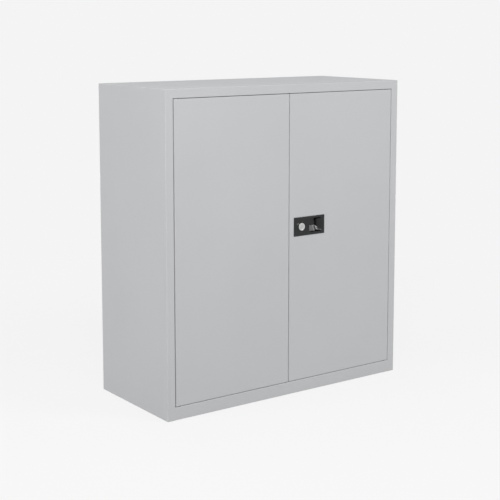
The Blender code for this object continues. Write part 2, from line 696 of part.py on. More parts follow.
def door_skin(side):
    """Tray door: face, four edges and the returns round its rear, welded at the corners."""

    def ring(y, inset):
        left = DOOR_MEETING_X + inset
        right = DOOR_EDGE_X - inset
        low = DOOR_BOTTOM + inset
        high = DOOR_TOP - inset
        return [(left, y, low), (right, y, low), (right, y, high), (left, y, high)]

    faces = pan_faces([ring(FRONT_Y, 0.0), ring(DOOR_REAR_Y, 0.0), ring(DOOR_REAR_Y, DOOR_RETURN)])
    if side == "left":
        faces = [[(-x, y, z) for x, y, z in reversed(corners)] for corners in faces]
    door = new_object(side + "_door_skin", faces, "grey_powder_coat", pivot=door_pivot(side))
    thicken(door, DOOR_SHEET)
    combine(door, side + "_door_holes", door_holes(side), "DIFFERENCE")
    return door


def door_holes(side):
    """Bush holes in both edges and, on the right door, rod holes and the handle opening."""
    x = door_pivot(side)[0]
    faces = []
    for level in (DOOR_BOTTOM, DOOR_TOP):
        outline = circle(PIN_RADIUS + BUSH_WALL + PIN_HOLE_CLEARANCE)
        faces += prism_faces(
            outline, level - CUTTER_REACH, level + CUTTER_REACH, upright_at(x, PIVOT_Y)
        )
    if side == "left":
        return faces
    faces += rod_hole(UPPER_ROD_X, DOOR_TOP - CUTTER_REACH, DOOR_TOP + CUTTER_REACH)
    faces += rod_hole(LOWER_ROD_X, DOOR_BOTTOM - CUTTER_REACH, DOOR_BOTTOM + CUTTER_REACH)
    faces += box_faces(
        (CUTOUT_LEFT, FRONT_Y - CUTTER_REACH, CUTOUT_BOTTOM),
        (CUTOUT_RIGHT, FRONT_Y + CUTTER_REACH, CUTOUT_TOP),
    )
    return faces


def door_stiffener(side):
    """Top-hat rib up the middle of the door."""
    low = DOOR_MIDDLE_X - DOOR_STIFFENER_WIDTH / 2
    high = DOOR_MIDDLE_X + DOOR_STIFFENER_WIDTH / 2
    feet_y = DOOR_INNER_Y + SEAT_GAP + DOOR_SHEET
    crown_y = DOOR_RETURN_INNER_Y - SEAT_GAP
    path = hat_path(low, high, DOOR_STIFFENER_FOOT, feet_y, crown_y)[::-1]
    faces = along_z(
        path, DOOR_BOTTOM + DOOR_SHEET + SEAT_GAP, DOOR_TOP - DOOR_SHEET - SEAT_GAP
    )
    if side == "left":
        faces = [[(-x, y, z) for x, y, z in reversed(corners)] for corners in faces]
    rib = new_object(side + "_door_stiffener", faces, "grey_powder_coat", pivot=door_pivot(side))
    return thicken(rib, DOOR_SHEET)


def meeting_strip():
    """Flat strip on the left door that laps behind the right door."""
    faces = box_faces(
        (-DOOR_MEETING_X - DOOR_RETURN, DOOR_REAR_Y + SEAT_GAP, DOOR_BOTTOM + MEETING_STRIP_END_INSET),
        (
            DOOR_MEETING_X + MEETING_STRIP_LAP,
            DOOR_REAR_Y + SEAT_GAP + MEETING_STRIP_SHEET,
            DOOR_TOP - MEETING_STRIP_END_INSET,
        ),
    )
    return new_object("left_door_meeting_strip", faces, "grey_powder_coat", pivot=door_pivot("left"))


def hinge_bush(side, level):
    """Flanged nylon bush between the door edge and the frame."""
    bore = PIN_RADIUS + BUSH_BORE_CLEARANCE
    shank = PIN_RADIUS + BUSH_WALL
    flange = PIN_RADIUS + BUSH_FLANGE_WALL
    tail = DOOR_SHEET + SEAT_GAP + HINGE_BRACKET_THICKNESS + BUSH_TAIL
    if level == "lower":
        seat = DOOR_BOTTOM - SEAT_GAP
        outer = PLINTH_HEIGHT + SEAT_GAP
        end = DOOR_BOTTOM + tail
        profile = [(bore, outer), (flange, outer), (flange, seat), (shank, seat), (shank, end), (bore, end)]
    else:
        seat = DOOR_TOP + SEAT_GAP
        outer = OPENING_TOP - SEAT_GAP
        end = DOOR_TOP - tail
        profile = [(bore, end), (shank, end), (shank, seat), (flange, seat), (flange, outer), (bore, outer)]
    pivot = door_pivot(side)
    faces = turned_faces(profile, upright_at(pivot[0], pivot[1]), closed=True)
    return new_object(f"{level}_{side}_bush", faces, "white_nylon", pivot=pivot, smooth=True)


def hinge_bracket(side, level):
    """Flat plate that backs the door edge round the bush."""
    pivot = door_pivot(side)
    if level == "lower":
        low = DOOR_BOTTOM + DOOR_SHEET + SEAT_GAP
        high = low + HINGE_BRACKET_THICKNESS
    else:
        high = DOOR_TOP - DOOR_SHEET - SEAT_GAP
        low = high - HINGE_BRACKET_THICKNESS
    edge = DOOR_EDGE_X - DOOR_SHEET - SEAT_GAP
    inner = edge - HINGE_BRACKET_LENGTH
    left, right = (-edge, -inner) if side == "left" else (inner, edge)
    faces = box_faces(
        (left, DOOR_INNER_Y + SEAT_GAP, low),
        (right, DOOR_RETURN_INNER_Y - SEAT_GAP, high),
    )
    name = f"{level}_{side}_hinge_bracket"
    plate = new_object(name, faces, "zinc_plated_steel", pivot=pivot)
    outline = circle(PIN_RADIUS + BUSH_WALL + PIN_HOLE_CLEARANCE)
    hole = prism_faces(
        outline, low - CUTTER_REACH, high + CUTTER_REACH, upright_at(pivot[0], pivot[1])
    )
    combine(plate, name + "_hole", hole, "DIFFERENCE")
    return plate


def handle_housing():
    """Black moulding: bevelled plate, raised lock rim, finger recess, lock boss, posts and rear hook.

    The recess narrows towards its back: its far wall slopes in most, as fingers come from the left.
    """
    pivot = door_pivot("right")
    wall_front = PLATE_FRONT_Y + HANDLE_BEVEL_DEPTH
    rings = [
        rectangle_ring(HANDLE_LEFT, HANDLE_BOTTOM, HANDLE_RIGHT, HANDLE_TOP, HANDLE_BEVEL_WIDTH, PLATE_FRONT_Y),
        rectangle_ring(HANDLE_LEFT, HANDLE_BOTTOM, HANDLE_RIGHT, HANDLE_TOP, 0.0, wall_front),
        rectangle_ring(HANDLE_LEFT, HANDLE_BOTTOM, HANDLE_RIGHT, HANDLE_TOP, 0.0, PLATE_REAR_Y),
    ]
    faces = pan_faces(rings) + [rings[-1][::-1]]
    housing = new_object("handle_housing", faces, "black_moulding", pivot=pivot)
    combine(housing, "handle_cup", handle_cup(), "UNION")
    combine(housing, "handle_hook", handle_hook(), "UNION")
    combine(housing, "handle_boss", handle_boss(), "UNION")
    combine(housing, "handle_posts", handle_posts(), "UNION")
    combine(housing, "handle_recess", handle_recess(), "DIFFERENCE")
    combine(housing, "handle_bores", handle_bores(), "DIFFERENCE")
    return housing


def rectangle_ring(left, low, right, high, inset, y):
    """Four corners of an upright rectangle, anticlockwise from the front."""
    return [
        (left + inset, y, low + inset),
        (right - inset, y, low + inset),
        (right - inset, y, high - inset),
        (left + inset, y, high - inset),
    ]


def rounded_outline(left, low, right, high, radius, segments=RECESS_CORNER_SEGMENTS):
    """A rounded rectangle, anticlockwise."""
    corners = [(right, low), (right, high), (left, high), (left, low)]
    inward = [(-1.0, 1.0), (-1.0, -1.0), (1.0, -1.0), (1.0, 1.0)]
    outline = []
    for i, ((x, z), (dx, dz)) in enumerate(zip(corners, inward)):
        start = -math.pi / 2 + i * math.pi / 2
        for k in range(segments + 1):
            angle = start + math.pi / 2 * k / segments
            outline.append(
                (x + dx * radius + radius * math.cos(angle), z + dz * radius + radius * math.sin(angle))
            )
    return outline


def handle_cup():
    """Outer wall of the recess, behind the plate."""
    back = RECESS_BACK_Y + RECESS_WALL
    outline = rounded_outline(CUP_LEFT, CUP_BOTTOM, CUP_RIGHT, CUP_TOP, RECESS_CORNER_RADIUS)
    return loft_faces(
        [[(x, (PLATE_FRONT_Y + PLATE_REAR_Y) / 2, z) for x, z in outline], [(x, back, z) for x, z in outline]]
    )


def loft_faces(rings):
    """A solid through rings that turn anticlockwise seen from the front, from front to rear."""
    return pan_faces(rings) + [list(rings[-1][::-1])]


def handle_recess():
    """The finger space: a rounded block that narrows towards its back, with rounded back edges."""
    front = rounded_outline(RECESS_LEFT, RECESS_BOTTOM, RECESS_RIGHT, RECESS_TOP, RECESS_CORNER_RADIUS)
    rings = [[(x, PLATE_FRONT_Y - CUTTER_REACH, z) for x, z in front]]
    rings.append([(x, PLATE_FRONT_Y, z) for x, z in front])
    radius = RECESS_CORNER_RADIUS
    depth = RECESS_BACK_Y - PLATE_FRONT_Y
    for angle in (0.0, math.pi / 6, math.pi / 3, math.pi / 2):
        y = RECESS_BACK_Y - radius + radius * math.sin(angle)
        share = (y - PLATE_FRONT_Y) / depth
        draw = radius - radius * math.cos(angle)
        ring = rounded_outline(
            RECESS_LEFT + RECESS_NEAR_WALL_SLOPE * share + draw,
            RECESS_BOTTOM + RECESS_ROOF_SLOPE * share + draw,
            RECESS_RIGHT - RECESS_FAR_WALL_SLOPE * share - draw,
            RECESS_TOP - RECESS_ROOF_SLOPE * share - draw,
            RECESS_CORNER_RADIUS,
        )
        rings.append([(x, y, z) for x, z in ring])
    return loft_faces(rings)


def handle_hook():
    """Tab that catches behind the door face at the far end of the opening."""
    return box_faces(
        (CUP_RIGHT - RECESS_WALL / 2, DOOR_INNER_Y + SEAT_GAP, HANDLE_CENTRE_HEIGHT - HOOK_HEIGHT / 2),
        (
            CUTOUT_RIGHT + HOOK_REACH,
            DOOR_INNER_Y + SEAT_GAP + HOOK_THICKNESS,
            HANDLE_CENTRE_HEIGHT + HOOK_HEIGHT / 2,
        ),
    )


def handle_boss():
    """Raised rim round the lock in front and the boss behind it, as one turned block."""
    rim = LOCK_FACE_RADIUS + SEAT_GAP + LOCK_RIM_WALL
    middle = (PLATE_FRONT_Y + PLATE_REAR_Y) / 2
    profile = [
        (0.0, PLATE_FRONT_Y - LOCK_RIM_HEIGHT),
        (rim, PLATE_FRONT_Y - LOCK_RIM_HEIGHT),
        (rim, middle),
        (LOCK_BOSS_RADIUS, middle),
        (LOCK_BOSS_RADIUS, BOSS_REAR_Y),
        (0.0, BOSS_REAR_Y),
    ]
    return turned_faces(profile, rearward_at(LOCK_X, LOCK_Z))


def handle_posts():
    """Two posts that take the clamp bar's screws."""
    faces = []
    for z in post_heights():
        faces += prism_faces(
            circle(HANDLE_POST_RADIUS, 16),
            (PLATE_FRONT_Y + PLATE_REAR_Y) / 2,
            POST_END_Y,
            rearward_at(POST_X, z),
        )
    return faces


def post_heights():
    """Heights of the two posts."""
    half = HANDLE_POST_SPREAD / 2
    return (HANDLE_CENTRE_HEIGHT - half, HANDLE_CENTRE_HEIGHT + half)


def handle_bores():
    """The stepped lock bore and the two screw bores."""
    face = LOCK_FACE_RADIUS + SEAT_GAP
    bore = LOCK_CASE_RADIUS + LOCK_CASE_CLEARANCE
    profile = [
        (0.0, PLATE_FRONT_Y - CUTTER_REACH),
        (face, PLATE_FRONT_Y - CUTTER_REACH),
        (face, PLATE_FRONT_Y),
        (bore, PLATE_FRONT_Y),
        (bore, BOSS_REAR_Y + CUTTER_REACH),
        (0.0, BOSS_REAR_Y + CUTTER_REACH),
    ]
    faces = turned_faces(profile, rearward_at(LOCK_X, LOCK_Z))
    for z in post_heights():
        faces += prism_faces(
            circle(SCREW_RADIUS + SCREW_CLEARANCE, 16),
            POST_END_Y - SCREW_REACH,
            POST_END_Y + CUTTER_REACH,
            rearward_at(POST_X, z),
        )
    return faces


def clamp_bar():
    """Bar behind the door face that the two screws pull against."""
    faces = box_faces(
        (POST_X - CLAMP_BAR_WIDTH / 2, CLAMP_FRONT_Y, CUTOUT_BOTTOM - CLAMP_BAR_LAP),
        (POST_X + CLAMP_BAR_WIDTH / 2, CLAMP_REAR_Y, CUTOUT_TOP + CLAMP_BAR_LAP),
    )
    bar = new_object("handle_clamp_bar", faces, "zinc_plated_steel", pivot=door_pivot("right"))
    holes = []
    for z in post_heights():
        holes += prism_faces(
            circle(SCREW_RADIUS + SCREW_CLEARANCE, 16),
            CLAMP_FRONT_Y - CUTTER_REACH,
            CLAMP_REAR_Y + CUTTER_REACH,
            rearward_at(POST_X, z),
        )
    combine(bar, "handle_clamp_bar_holes", holes, "DIFFERENCE")
    return bar


def handle_screws():
    """Pan-headed screws through the clamp bar into the posts."""
    head = CLAMP_REAR_Y + SEAT_GAP
    tip = POST_END_Y - SCREW_REACH + SEAT_GAP
    profile = [
        (0.0, tip),
        (SCREW_RADIUS, tip),
        (SCREW_RADIUS, head),
        (SCREW_HEAD_RADIUS, head),
        (SCREW_HEAD_RADIUS, head + SCREW_HEAD_HEIGHT),
        (0.0, head + SCREW_HEAD_HEIGHT),
    ]
    for level, z in zip(("lower", "upper"), post_heights()):
        faces = turned_faces(profile, rearward_at(POST_X, z), segments=16)
        new_object(
            level + "_handle_screw", faces, "zinc_plated_steel", pivot=door_pivot("right"), smooth=True
        )


def lock_case():
    """Fixed lock body: round face on the moulding and a tube through it."""
    bore = LOCK_BARREL_RADIUS + LOCK_BARREL_CLEARANCE
    profile = [
        (bore, LOCK_FACE_Y),
        (LOCK_FACE_RADIUS, LOCK_FACE_Y),
        (LOCK_FACE_RADIUS, LOCK_FACE_REAR_Y),
        (LOCK_CASE_RADIUS, LOCK_FACE_REAR_Y),
        (LOCK_CASE_RADIUS, CASE_REAR_Y),
        (bore, CASE_REAR_Y),
    ]
    faces = turned_faces(profile, rearward_at(LOCK_X, LOCK_Z), closed=True)
    return new_object("lock_case", faces, "nickel_plate", pivot=door_pivot("right"), smooth=True)


def lock_nut():
    """Six-sided nut that holds the lock case behind the moulding."""
    inner = circle(LOCK_CASE_RADIUS + LOCK_CASE_CLEARANCE)
    step = len(inner) // NUT_SIDES
    corners = circle(LOCK_NUT_RADIUS, NUT_SIDES)
    outer = []
    for i, corner in enumerate(corners):
        after = corners[(i + 1) % NUT_SIDES]
        for k in range(step):
            share = k / step
            outer.append(
                (corner[0] + (after[0] - corner[0]) * share, corner[1] + (after[1] - corner[1]) * share)
            )
    faces = collar_faces(
        outer, inner, NUT_FRONT_Y, NUT_FRONT_Y + LOCK_NUT_THICKNESS, rearward_at(LOCK_X, LOCK_Z)
    )
    return new_object("lock_nut", faces, "zinc_plated_steel", pivot=door_pivot("right"))


def lock_pivot():
    """A point on the barrel's axis."""
    return (LOCK_X, CAM_FRONT_Y, LOCK_Z)


def lock_barrel():
    """Turning barrel with a keyway in front and a tapped hole behind."""
    bore = CAM_SCREW_RADIUS + SCREW_CLEARANCE
    depth = BARREL_REAR_Y - CAM_SCREW_REACH
    profile = [
        (0.0, LOCK_FACE_Y),
        (LOCK_BARREL_RADIUS, LOCK_FACE_Y),
        (LOCK_BARREL_RADIUS, BARREL_REAR_Y),
        (bore, BARREL_REAR_Y),
        (bore, depth),
        (0.0, depth),
    ]
    faces = turned_faces(profile, rearward_at(LOCK_X, LOCK_Z))
    barrel = new_object("lock_barrel", faces, "nickel_plate", pivot=lock_pivot(), smooth=True)
    keyway = box_faces(
        (LOCK_X - KEYWAY_WIDTH / 2, LOCK_FACE_Y - CUTTER_REACH, LOCK_Z - KEYWAY_HEIGHT / 2),
        (LOCK_X + KEYWAY_WIDTH / 2, LOCK_FACE_Y + KEYWAY_DEPTH, LOCK_Z + KEYWAY_HEIGHT / 2),
    )
    combine(barrel, "lock_keyway", keyway, "DIFFERENCE")
    return barrel


def lock_cam():
    """Two-armed cam with a pin at each end, drawn unlocked."""
    along = (math.cos(CAM_HALF_TURN), -math.sin(CAM_HALF_TURN))
    heading = math.atan2(along[1], along[0])
    outline = []
    half_steps = ROUND_SEGMENTS // 2
    for end in (0, 1):
        turn = heading + end * math.pi
        centre = (CAM_ARM * math.cos(turn), CAM_ARM * math.sin(turn))
        for k in range(half_steps + 1):
            angle = turn - math.pi / 2 + math.pi * k / half_steps
            outline.append(
                (
                    centre[0] + CAM_END_RADIUS * math.cos(angle),
                    centre[1] + CAM_END_RADIUS * math.sin(angle),
                )
            )
    place = rearward_at(LOCK_X, LOCK_Z)
    faces = prism_faces(outline, CAM_FRONT_Y, CAM_REAR_Y, place)
    cam = new_object("lock_cam", faces, "zinc_plated_steel", pivot=lock_pivot())
    pins = []
    for sign in (1.0, -1.0):
        centre = (sign * CAM_ARM * along[0], sign * CAM_ARM * along[1])
        outline = circle(CAM_PIN_RADIUS, centre=centre)
        pins += prism_faces(
            outline, (CAM_FRONT_Y + CAM_REAR_Y) / 2, ROD_REAR_Y + CAM_PIN_END, place
        )
    combine(cam, "lock_cam_pins", pins, "UNION")
    outline = circle(CAM_SCREW_RADIUS + SCREW_CLEARANCE)
    hole = prism_faces(outline, CAM_FRONT_Y - CUTTER_REACH, CAM_REAR_Y + CUTTER_REACH, place)
    combine(cam, "lock_cam_hole", hole, "DIFFERENCE")
    return cam


def cam_screw():
    """Screw that holds the cam on the barrel."""
    head = CAM_REAR_Y + SEAT_GAP
    tip = BARREL_REAR_Y - CAM_SCREW_REACH + SEAT_GAP
    profile = [
        (0.0, tip),
        (CAM_SCREW_RADIUS, tip),
        (CAM_SCREW_RADIUS, head),
        (SCREW_HEAD_RADIUS, head),
        (SCREW_HEAD_RADIUS, head + SCREW_HEAD_HEIGHT),
        (0.0, head + SCREW_HEAD_HEIGHT),
    ]
    faces = turned_faces(profile, rearward_at(LOCK_X, LOCK_Z), segments=16)
    return new_object("cam_screw", faces, "zinc_plated_steel", pivot=lock_pivot(), smooth=True)


def lock_rod(name, x, pin_z, low, high):
    """Flat rod with a cross slot for the cam's pin."""
    pivot = (x, ROD_MIDDLE_Y, pin_z)
    faces = box_faces(
        (x - ROD_WIDTH / 2, ROD_FRONT_Y, low),
        (x + ROD_WIDTH / 2, ROD_REAR_Y, high),
    )
    rod = new_object(name, faces, "zinc_plated_steel", pivot=pivot)
    slot = box_faces(
        (x - ROD_SLOT_HALF, ROD_FRONT_Y - CUTTER_REACH, pin_z - ROD_SLOT_HALF_HEIGHT),
        (x + ROD_SLOT_HALF, ROD_REAR_Y + CUTTER_REACH, pin_z + ROD_SLOT_HALF_HEIGHT),
    )
    combine(rod, name + "_slot", slot, "DIFFERENCE")
    return rod


def lock_rods():
    """Both rods, drawn back inside the door."""
    head = ROD_SLOT_HALF_HEIGHT + ROD_HEAD_END
    lock_rod(
        "upper_lock_rod", UPPER_ROD_X, UPPER_ROD_PIN_Z, UPPER_ROD_PIN_Z - head, DOOR_TOP - ROD_TIP_SETBACK
    )
    lock_rod(
        "lower_lock_rod",
        LOWER_ROD_X,
        LOWER_ROD_PIN_Z,
        DOOR_BOTTOM + ROD_TIP_SETBACK,
        LOWER_ROD_PIN_Z + head,
    )


def rod_guides():
    """Nylon guides that keep the rods beside the door face."""
    for name, x, start, end in (
        ("upper", UPPER_ROD_X, UPPER_ROD_PIN_Z, DOOR_TOP),
        ("lower", LOWER_ROD_X, LOWER_ROD_PIN_Z, DOOR_BOTTOM),
    ):
        for place_name, share in zip(("inner", "outer"), GUIDE_SHARES):
            height = start + (end - start) * share
            half = ROD_WIDTH / 2 + GUIDE_CLEARANCE
            slot_front = ROD_FRONT_Y - GUIDE_CLEARANCE
            slot_rear = ROD_REAR_Y + GUIDE_CLEARANCE
            block_rear = slot_rear + GUIDE_REAR_WALL
            outer = plan_rectangle(x - half - GUIDE_WALL, DOOR_INNER_Y + SEAT_GAP, x + half + GUIDE_WALL, block_rear)
            inner = plan_rectangle(x - half, slot_front, x + half, slot_rear)
            faces = collar_faces(
                outer,
                inner,
                height - GUIDE_HEIGHT / 2,
                height + GUIDE_HEIGHT / 2,
                upright_at(0.0, 0.0),
            )
            new_object(f"{name}_{place_name}_rod_guide", faces, "white_nylon", pivot=door_pivot("right"))


def plan_rectangle(left, front, right, rear):
    """A rectangle seen from above, anticlockwise."""
    return [(left, front), (right, front), (right, rear), (left, rear)]


def shelf_pivot():
    """The middle of the shelf's underside."""
    return (0.0, (SHELF_FRONT_Y + SHELF_REAR_Y) / 2, SHELF_BOTTOM)


def shelf():
    """Tray shelf, its edges turned down and under."""

    def ring(height, inset):
        left = -SHELF_X + inset
        right = SHELF_X - inset
        front = SHELF_FRONT_Y + inset
        rear = SHELF_REAR_Y - inset
        return [(left, front, height), (right, front, height), (right, rear, height), (left, rear, height)]

    faces = pan_faces([ring(SHELF_TOP, 0.0), ring(SHELF_BOTTOM, 0.0), ring(SHELF_BOTTOM, SHELF_RETURN)])
    return thicken(new_object("shelf", faces, "grey_powder_coat", pivot=shelf_pivot()), SHELF_SHEET)


def shelf_stiffener():
    """Top-hat rib under the shelf, from side to side."""
    middle = (SHELF_FRONT_Y + SHELF_REAR_Y) / 2
    half = SHELF_STIFFENER_WIDTH / 2
    feet = SHELF_TOP - SHELF_SHEET - SEAT_GAP - SHELF_SHEET
    crown = feet - SHELF_STIFFENER_DEPTH
    path = hat_path(middle - half, middle + half, SHELF_STIFFENER_FOOT, feet, crown)
    half_length = SHELF_X - SHELF_SHEET - SEAT_GAP
    faces = along_x(path, -half_length, half_length)
    rib = new_object("shelf_stiffener", faces, "grey_powder_coat", pivot=shelf_pivot())
    return thicken(rib, SHELF_SHEET)


def build_carcass():
    for side in ("left", "right"):
        side_panel(side)
        for end in ("front", "rear"):
            upright(side, end)
            shelf_clip(side, end)
    top_panel()
    base_panel()
    back_panel()
    door_stops()
    door_buffers()
    hinge_pins()


def build_doors():
    for side in ("left", "right"):
        door_skin(side)
        door_stiffener(side)
        for level in ("upper", "lower"):
            hinge_bush(side, level)
            hinge_bracket(side, level)
    meeting_strip()


def build_lock():
    handle_housing()
    clamp_bar()
    handle_screws()
    lock_case()
    lock_nut()
    lock_barrel()
    lock_cam()
    cam_screw()
    lock_rods()
    rod_guides()


def main():
    clear_scene()
    build_carcass()
    build_doors()
    build_lock()
    shelf()
    shelf_stiffener()


main()
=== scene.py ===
import json
import math

import bmesh
import bpy
import numpy as np
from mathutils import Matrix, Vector


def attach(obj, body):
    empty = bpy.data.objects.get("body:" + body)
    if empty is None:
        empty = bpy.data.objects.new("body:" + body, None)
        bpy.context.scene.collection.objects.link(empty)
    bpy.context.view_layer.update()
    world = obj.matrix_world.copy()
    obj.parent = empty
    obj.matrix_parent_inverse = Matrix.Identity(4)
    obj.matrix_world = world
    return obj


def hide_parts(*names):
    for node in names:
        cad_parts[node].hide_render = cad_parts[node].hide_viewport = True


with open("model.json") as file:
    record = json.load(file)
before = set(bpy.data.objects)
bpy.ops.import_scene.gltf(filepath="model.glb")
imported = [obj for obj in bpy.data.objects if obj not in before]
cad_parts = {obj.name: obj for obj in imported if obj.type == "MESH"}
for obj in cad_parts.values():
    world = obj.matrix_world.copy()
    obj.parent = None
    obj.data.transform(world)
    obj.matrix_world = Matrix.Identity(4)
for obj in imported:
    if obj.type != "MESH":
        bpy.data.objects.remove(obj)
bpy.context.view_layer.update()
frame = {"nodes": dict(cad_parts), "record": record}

MM = 0.001
QUARTER = math.pi / 2

# Gauges and folds
BODY_SHEET = 0.9 * MM
SHELF_SHEET = 0.8 * MM
UPRIGHT_SHEET = 1.2 * MM
STOP_SHEET = 1.2 * MM
INSIDE_BEND = 0.7 * MM
FOLD_STEPS = 6
CORNER_STEPS = 4
FOLD_MARGIN = 0.8 * MM
FOLD_START = 3.0 * MM
GROUND_EDGE = 0.05 * MM
STRAIGHT = 1e-6

# Welded points: cells of one step, offset so that no round size lies on the border between two
WELD_STEP = 0.002 * MM
WELD_OFFSET = 0.37

# Body
FRONT = -200.0 * MM
REAR = 200.0 * MM
SIDE = 457.0 * MM
TOP = 1000.0 * MM
LID_SKIRT = 3.0 * MM
OPENING_SIDE = 430.0 * MM
OPENING_TOP = 971.5 * MM
STILE_BACK = -178.0 * MM
STILE_LIP = 14.85 * MM
REAR_FLANGE = 18.0 * MM
RAIL_BACK = -168.0 * MM
RAIL_LIP = 12.0 * MM
PLINTH = 40.0 * MM
PLINTH_FOOT = 20.0 * MM
FLOOR_SIDE = 455.8 * MM
FLOOR_REAR = 197.6 * MM
FLOOR_FLANGE = 25.0 * MM
FLOOR_NOTCH = -177.7 * MM

# Doors, hinges and rods
DOOR_MEETING = 1.0 * MM
DOOR_EDGE = 427.5 * MM
RIGHT_DOOR_EDGE = 428.2 * MM
DOOR_BOTTOM = 41.6 * MM
DOOR_TOP = 970.0 * MM
DOOR_MIDDLE = (DOOR_BOTTOM + DOOR_TOP) / 2
DOOR_DEPTH = 20.0 * MM
DOOR_RETURN = 15.0 * MM
PIVOT = (413.5 * MM, -192.0 * MM)
PIN_HOLE = 4.3 * MM
BUSH_HOLE = 5.7 * MM
ROD_HOLE = (-187.0 * MM, -182.4 * MM)
UPPER_ROD_HOLE = (29.8 * MM, 45.4 * MM)
LOWER_ROD_HOLE = (52.0 * MM, 67.6 * MM)
CUTOUT_LOW = (22.1 * MM, 519.2 * MM)
CUTOUT_HIGH = (137.8 * MM, 570.8 * MM)
HAT_LEFT = 194.25 * MM
HAT_RIGHT = 234.25 * MM
HAT_FOOT = 12.0 * MM
HAT_FOOT_LEVEL = -197.9 * MM
HAT_CROWN_LEVEL = -181.2 * MM
HAT_ENDS = (43.7 * MM, 967.8 * MM)

# Door stops, uprights and shelf
STOP_FACE = -176.0 * MM
STOP_HALF = 379.5 * MM
STOP_FLAT = 8.0 * MM
STOP_LEG = 12.5 * MM
STOP_CLEARANCE = 0.3 * MM
UPRIGHT_FACE = 441.0 * MM
UPRIGHT_HALF = 15.0 * MM
UPRIGHT_MIDDLES = {"front": -135.0 * MM, "rear": 155.0 * MM}
UPRIGHT_ENDS = (40.3 * MM, 980.8 * MM)
FIRST_SLOT = 80.3 * MM
SLOT_PITCH = 32.0 * MM
SLOT_COUNT = 27
SLOT_HALF_WIDTH = 6.0 * MM
SLOT_HALF_HEIGHT = 1.5 * MM
SHELF_LOW = (-438.5 * MM, -165.0 * MM)
SHELF_HIGH = (438.5 * MM, 191.9 * MM)
SHELF_TOP = 507.9 * MM
SHELF_DEPTH = 25.0 * MM
SHELF_RETURN = 12.0 * MM
RIB_HALF = 437.4 * MM
RIB_FRONT = -11.55 * MM
RIB_REAR = 38.45 * MM
RIB_FOOT = 12.0 * MM
RIB_FOOT_LEVEL = 506.0 * MM
RIB_CROWN_LEVEL = 491.0 * MM

# Handle plate. The lock lies left of the zone line, the recess right of it. Radii are for section corners
PLATE_LOW = np.array([18.5, 514.7]) * MM
PLATE_HIGH = np.array([143.2, 575.7]) * MM
PLATE_CORNER = 1.8 * MM
PLATE_CORNER_STEPS = 8
PANEL_INSET = 4.4 * MM
BEVEL_INSET = 3.7 * MM
PLATE_WALL_FRONT = -201.3 * MM
PANEL_FACE = -202.2 * MM
PLATE_REAR = -200.3 * MM
PLATE_RADII = np.array([0.0, 1.4, 0.3, 0.1, 0.0]) * MM
PLATE_MARGIN = 0.1 * MM
ZONE_LINE = 75.0 * MM
ZONE_STATIONS = 37

# Posts and hook that hold the moulding to the door
POST_X = 29.0 * MM
POST_LEVELS = (528.0 * MM, 562.0 * MM)
POST_RADIUS = 4.0 * MM
POST_FRONT = -200.7 * MM
POST_REAR = -199.1 * MM
POST_EDGE = 0.2 * MM
HOOK_LOW = np.array([136.4, -198.8, 535.0]) * MM
HOOK_HIGH = np.array([140.4, -197.0, 555.0]) * MM
HOOK_EDGE = 0.4 * MM
HOOK_STEPS = 4

# Finger recess, with the cup that holds it behind the plate
MOUTH_LOW = np.array([80.8, 522.5]) * MM
MOUTH_HIGH = np.array([135.0, 568.5]) * MM
MOUTH_CORNER = 5.5 * MM
MOUTH_CORNER_STEPS = 16
MOUTH_STATIONS = 60
RECESS_DEPTH = 24.5 * MM
RECESS_WALL = 1.8 * MM
MOUTH_STEPS = 9
WALL_STEPS = 9
FOOT_STEPS = 17
CUP_EDGE = 1.5 * MM
CUP_STEPS = 6

# Each list goes round the recess: far side, roof, near side, floor. The mouth is rounded so far out and so
# deep. A side leans in by its slope over the whole depth. Its foot, so deep, turns in by its tuck, straight
# with a bow of 0 and on an ellipse with 1. A side's depth holds between two angles as seen from the middle
RECESS_MIDDLE = np.array([105.0, 549.0]) * MM
MOUTH_OUTS = np.array([3.0, 1.0, 1.0, 1.0]) * MM
MOUTH_DEPTHS = np.array([6.0, 1.0, 1.0, 1.0]) * MM
RECESS_SLOPES = np.array([18.0, 2.0, 2.5, 1.0]) * MM
RECESS_ROUNDS = np.array([2.0, 4.0, 6.0, 8.0]) * MM
RECESS_TUCKS = np.array([1.0, 4.0, 6.0, 17.0]) * MM
RECESS_BOWS = np.array([1.0, 1.0, 1.0, 0.0])
RECESS_TURNS = np.radians([-34.0, 19.0, 38.0, 136.0, 156.0, 221.0, 243.0, 304.0])

# Rings on the flats: shares of the way to the lock's collar, and shares of the last ring of recess and cup
FLAT_SHARES = (0.0, 0.35, 0.7)
BOTTOM_SHARES = (0.75, 0.4, 0.0)
CUP_SHARES = (0.6, 0.0)

# Turned parts
TURN_COUNT = 96
TURN_MARGIN = 0.05 * MM

# Collar round the lock: its slope, its face, the ledge inside its mouth, the bore, and the boss behind
LOCK_MIDDLE = np.array([48.7, 544.5]) * MM
COLLAR_START = 20.2 * MM
COLLAR_FOOT = 19.3 * MM
COLLAR_EDGE = 17.6 * MM
COLLAR_MOUTH = 13.1 * MM
COLLAR_FACE = -203.8 * MM
LEDGE_RIM = (12.5 * MM, -203.2 * MM)
LEDGE_RADIUS = 12.4 * MM
BORE_RADIUS = 9.8 * MM
BOSS_RADIUS = 13.0 * MM
BOSS_END = 13.6 * MM
BOSS_REAR = -197.0 * MM
COLLAR_RADII = np.array([0.0, 0.25, 0.4, 0.3, 0.2, 0.1, 0.2, 0.2, 0.4, 0.1, 0.0]) * MM

